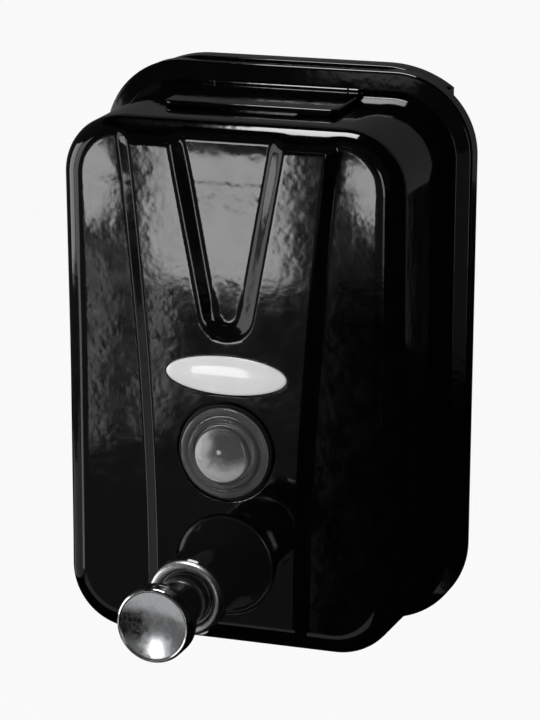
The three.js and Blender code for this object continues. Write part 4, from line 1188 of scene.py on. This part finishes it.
def card(name, corners, strength):
    """A flat card that only reflections meet: a black flag, a grey card or a bright panel."""
    obj = mesh_object(name, corners, [(0, 1, 2, 3)])
    material = bpy.data.materials.new(name)
    material.use_nodes = True
    tree = material.node_tree
    tree.nodes.remove(tree.nodes["Principled BSDF"])
    glow = add(tree, "ShaderNodeEmission", {"Color": (1, 1, 1, 1), "Strength": strength})
    tree.links.new(glow.outputs["Emission"], tree.nodes["Material Output"].inputs["Surface"])
    obj.data.materials.append(material)
    obj.visible_camera = False
    obj.visible_diffuse = False
    obj.visible_shadow = False
    obj.visible_transmission = False


def toward(azimuth, elevation, distance):
    """A place at a distance from the front; azimuth in degrees from straight ahead to the right."""
    a, e = math.radians(azimuth), math.radians(elevation)
    way = Vector((math.sin(a) * math.cos(e), -math.cos(a) * math.cos(e), math.sin(e)))
    front = Vector((0.0, -0.074, 0.0))
    return front + way * distance


def sky_card(name, azimuths, elevations, distance, strength):
    """A card that fills a range of directions as seen from the front."""
    (a0, a1), (e0, e1) = azimuths, elevations
    card(name, [toward(a, e, distance) for a, e in ((a0, e0), (a1, e0), (a1, e1), (a0, e1))], strength)


def front_card(name, across, heights, strength):
    """A card square to the front, by its sides and its lower and upper edge in metres."""
    (left, right), (low, high) = across, heights
    places = ((left, low), (right, low), (right, high), (left, high))
    card(name, [(x, -CARD_AHEAD, z) for x, z in places], strength)


def softbox(name, place, aim, size, watts):
    """A rectangular soft lamp that looks at a point and doesn't show in the gloss."""
    lamp = bpy.data.lights.new(name, "AREA")
    lamp.shape = "RECTANGLE"
    lamp.size, lamp.size_y = size
    lamp.energy = watts
    obj = bpy.data.objects.new(name, lamp)
    bpy.context.scene.collection.objects.link(obj)
    obj.location = place
    obj.rotation_euler = (Vector(aim) - Vector(place)).to_track_quat("-Z", "Y").to_euler()
    obj.visible_camera = False
    obj.visible_glossy = False


class DISPENSER_OT_stage(bpy.types.Operator):
    """Sets up the pale floor, the lamps, the world and the camera."""

    bl_idname = "dispenser.stage"
    bl_label = "Stage"

    def execute(self, context):
        self.floor()
        self.world()
        self.lamps()
        self.camera()
        context.scene.view_settings.view_transform = "Standard"
        return {"FINISHED"}

    def floor(self):
        z = settings().stage.floor_drop
        obj = mesh_object("floor", [(-9, -9, z), (9, -9, z), (9, 9, z), (-9, 9, z)], [(0, 1, 2, 3)])
        material, tree, shader, place = start("pale floor", "#e9e9e7", 0.7)
        toned(tree, shader, swells(tree, place, 8.0 * MM, Detail=3.0), (0.3, 0.80), (0.7, 0.83))
        glow = add(tree, "ShaderNodeEmission", {"Color": (1, 1, 1, 1), "Strength": 1.0})
        # a tenth of the floor stays lit by the lamps, so the object's shadow lies on it
        share = add(tree, "ShaderNodeMath", {0: self.background_rays(tree), 1: 0.9}, operation="MULTIPLY")
        mixed(tree, share.outputs["Value"], shader.outputs["BSDF"], glow.outputs["Emission"], "Material Output")
        obj.data.materials.append(material)

    @staticmethod
    def background_rays(tree):
        """1 for the rays that should meet the plain white background."""
        light = add(tree, "ShaderNodeLightPath").outputs
        seen = light["Is Camera Ray"]
        for kind in ("Is Glossy Ray", "Is Transmission Ray"):
            seen = add(tree, "ShaderNodeMath", {0: seen, 1: light[kind]}, operation="MAXIMUM").outputs["Value"]
        return seen

    def world(self):
        world = bpy.data.worlds.new("studio")
        world.use_nodes = True
        bpy.context.scene.world = world
        tree = world.node_tree
        soft = tree.nodes["Background"]
        soft.inputs["Color"].default_value = (1, 1, 1, 1)
        soft.inputs["Strength"].default_value = 0.55
        white = add(tree, "ShaderNodeBackground", {"Color": (1, 1, 1, 1), "Strength": 1.0})
        first, second = soft.outputs["Background"], white.outputs["Background"]
        mixed(tree, self.background_rays(tree), first, second, "World Output")

    def lamps(self):
        """Soft lamps for the colours, and the cards and panels that the gloss reflects."""
        softbox("key_lamp", (-0.9, -1.3, 0.9), (0, -0.05, 0), (0.8, 0.8), 14)
        front_card("window_panel", (-0.511, -0.398), (-0.328, -0.222), 7.2)
        front_card("window_head", (-0.53, -0.37), (-0.221, -0.08), 0.01)
        front_card("window_tail", (-0.511, -0.498), (-0.380, -0.329), 3.0)
        front_card("window_foot", (-0.556, -0.546), (-0.396, -0.285), 3.2)
        sky_card("left_strip", (-61, -41), (-12, 12), 0.9, 1.8)
        sky_card("left_strip_foot", (-53, -43), (-22, -12), 0.9, 2.0)
        sky_card("left_window", (-90, -63), (-12.2, 14), 1.4, 3.3)
        sky_card("right_strip", (9, 16), (-11.5, 4), 1.5, 3.2)
        sky_card("right_strip_foot", (9, 16), (-14, -11.6), 1.5, 1.2)
        sky_card("over_blob", (-18, -8), (9, 10.6), 1.5, 0.8)
        card("top_panel", [(-0.5, -0.35, 1.5), (0.12, -0.35, 1.5), (0.12, 0.35, 1.5), (-0.5, 0.35, 1.5)], 14.0)
        self.flags()

    def flags(self):
        """Black and grey cards round the object."""
        x, near, far, low, high = 2.6, 2.4, -3.0, settings().stage.floor_drop + 0.01, 2.8
        black, grey, split = 0.001, 0.11, -0.35
        for name, (x0, y0), (x1, y1), foot, top, strength in (
            ("front", (-x, far), (x, far), low, split, 0.12),
            ("head", (-x, far), (x, far), split, high, 0.03),
            ("back", (-x, near), (x, near), low, high, 0.08),
            ("left", (-x, far), (-x, near), low, high, 0.05),
            ("right", (x, far), (x, near), low, high, black),
        ):
            card(f"flag_{name}", [(x0, y0, foot), (x1, y1, foot), (x1, y1, top), (x0, y0, top)], strength)
        card("flag_over", [(-x, far, high), (x, far, high), (x, near, high), (-x, near, high)], black)
        # the floor cards: grey far ahead and on the left, black on the right, paler just ahead
        right, ahead, edge, rear = 0.3, -1.62, -0.84, -0.50
        for name, places, strength in (
            ("far", [(-x, far), (right, far), (right, ahead), (-x, ahead)], grey),
            ("left", [(-x, ahead), (-0.47, ahead), (-0.22, edge), (-x, edge)], grey),
            ("right", [(-0.47, ahead), (right, ahead), (right, edge), (-0.22, edge)], black),
            ("side_left", [(-0.75, edge), (-0.62, edge), (-0.62, rear), (-0.75, rear)], grey),
            ("open", [(-0.62, edge), (0.10, edge), (0.10, rear), (-0.62, rear)], 0.45),
            ("beside_left", [(-1.35, edge), (-0.75, edge), (-0.75, 0.5), (-1.35, 0.5)], 0.35),
            ("beyond_left", [(-x, edge), (-1.35, edge), (-1.35, near), (-x, near)], 0.05),
            ("back_left", [(-1.35, 0.5), (-0.75, 0.5), (-0.75, near), (-1.35, near)], black),
            ("side_right", [(0.10, edge), (right, edge), (right, rear), (0.10, rear)], black),
            ("under", [(-0.75, rear), (right, rear), (right, near), (-0.75, near)], black),
            ("beside", [(right, far), (x, far), (x, 1.58), (right, 1.58)], black),
            ("behind", [(right, 1.58), (0.535, 1.58), (0.756, near), (right, near)], black),
            ("behind_grey", [(0.535, 1.58), (x, 1.58), (x, near), (0.756, near)], 0.06),
        ):
            card(f"flag_floor_{name}", [(px, py, low) for px, py in places], strength)

    def camera(self):
        stage = settings().stage
        azimuth, elevation, roll = (math.radians(v) for v in (18.930, 14.041, 0.374))
        forward = Vector(
            (
                -math.sin(azimuth) * math.cos(elevation),
                math.cos(azimuth) * math.cos(elevation),
                -math.sin(elevation),
            )
        )
        level = Vector((math.cos(azimuth), math.sin(azimuth), 0.0))
        upright = level.cross(forward)
        right = level * math.cos(roll) + upright * math.sin(roll)
        up = upright * math.cos(roll) - level * math.sin(roll)
        data = bpy.data.cameras.new("camera")
        data.sensor_fit = "VERTICAL"
        data.sensor_height = 36.0
        data.lens = 150.0
        data.clip_start = 0.01
        data.clip_end = 60.0
        obj = bpy.data.objects.new("camera", data)
        bpy.context.scene.collection.objects.link(obj)
        turn = Matrix((right, up, -forward)).transposed().to_4x4()
        obj.matrix_world = Matrix.Translation(Vector(stage.camera_place)) @ turn
        bpy.context.scene.camera = obj


class DispenserSettings(bpy.types.PropertyGroup):
    """All settings of the dispenser."""

    body: PointerProperty(type=DispenserBodySettings)
    pump: PointerProperty(type=DispenserPumpSettings)
    finish: PointerProperty(type=DispenserFinishSettings)
    stage: PointerProperty(type=DispenserStageSettings)


STEPS = (
    DISPENSER_OT_stage,
    DISPENSER_OT_housing,
    DISPENSER_OT_back,
    DISPENSER_OT_lid,
    DISPENSER_OT_badge,
    DISPENSER_OT_window,
    DISPENSER_OT_sleeve,
    DISPENSER_OT_plunger,
    DISPENSER_OT_spring,
)


class DISPENSER_PT_panel(bpy.types.Panel):
    """Lists the dispenser's steps and settings."""

    bl_idname = "DISPENSER_PT_panel"
    bl_label = "Dispenser"
    bl_space_type = "VIEW_3D"
    bl_region_type = "UI"
    bl_category = "Dispenser"

    def draw(self, context):
        layout = self.layout
        for step in STEPS:
            layout.operator(step.bl_idname)
        for group in (settings().body, settings().pump, settings().finish, settings().stage):
            box = layout.box()
            for name in group.bl_rna.properties.keys():
                if name not in ("rna_type", "name"):
                    box.prop(group, name)


CLASSES = (
    DispenserBodySettings,
    DispenserPumpSettings,
    DispenserFinishSettings,
    DispenserStageSettings,
    DispenserSettings,
    *STEPS,
    DISPENSER_PT_panel,
)


def register():
    for cls in CLASSES:
        bpy.utils.register_class(cls)
    bpy.types.Scene.dispenser = PointerProperty(type=DispenserSettings)


def unregister():
    del bpy.types.Scene.dispenser
    for cls in reversed(CLASSES):
        bpy.utils.unregister_class(cls)


def main():
    register()
    for step in STEPS:
        group, name = step.bl_idname.split(".")
        getattr(getattr(bpy.ops, group), name)()


if __name__ == "__main__":
    main()
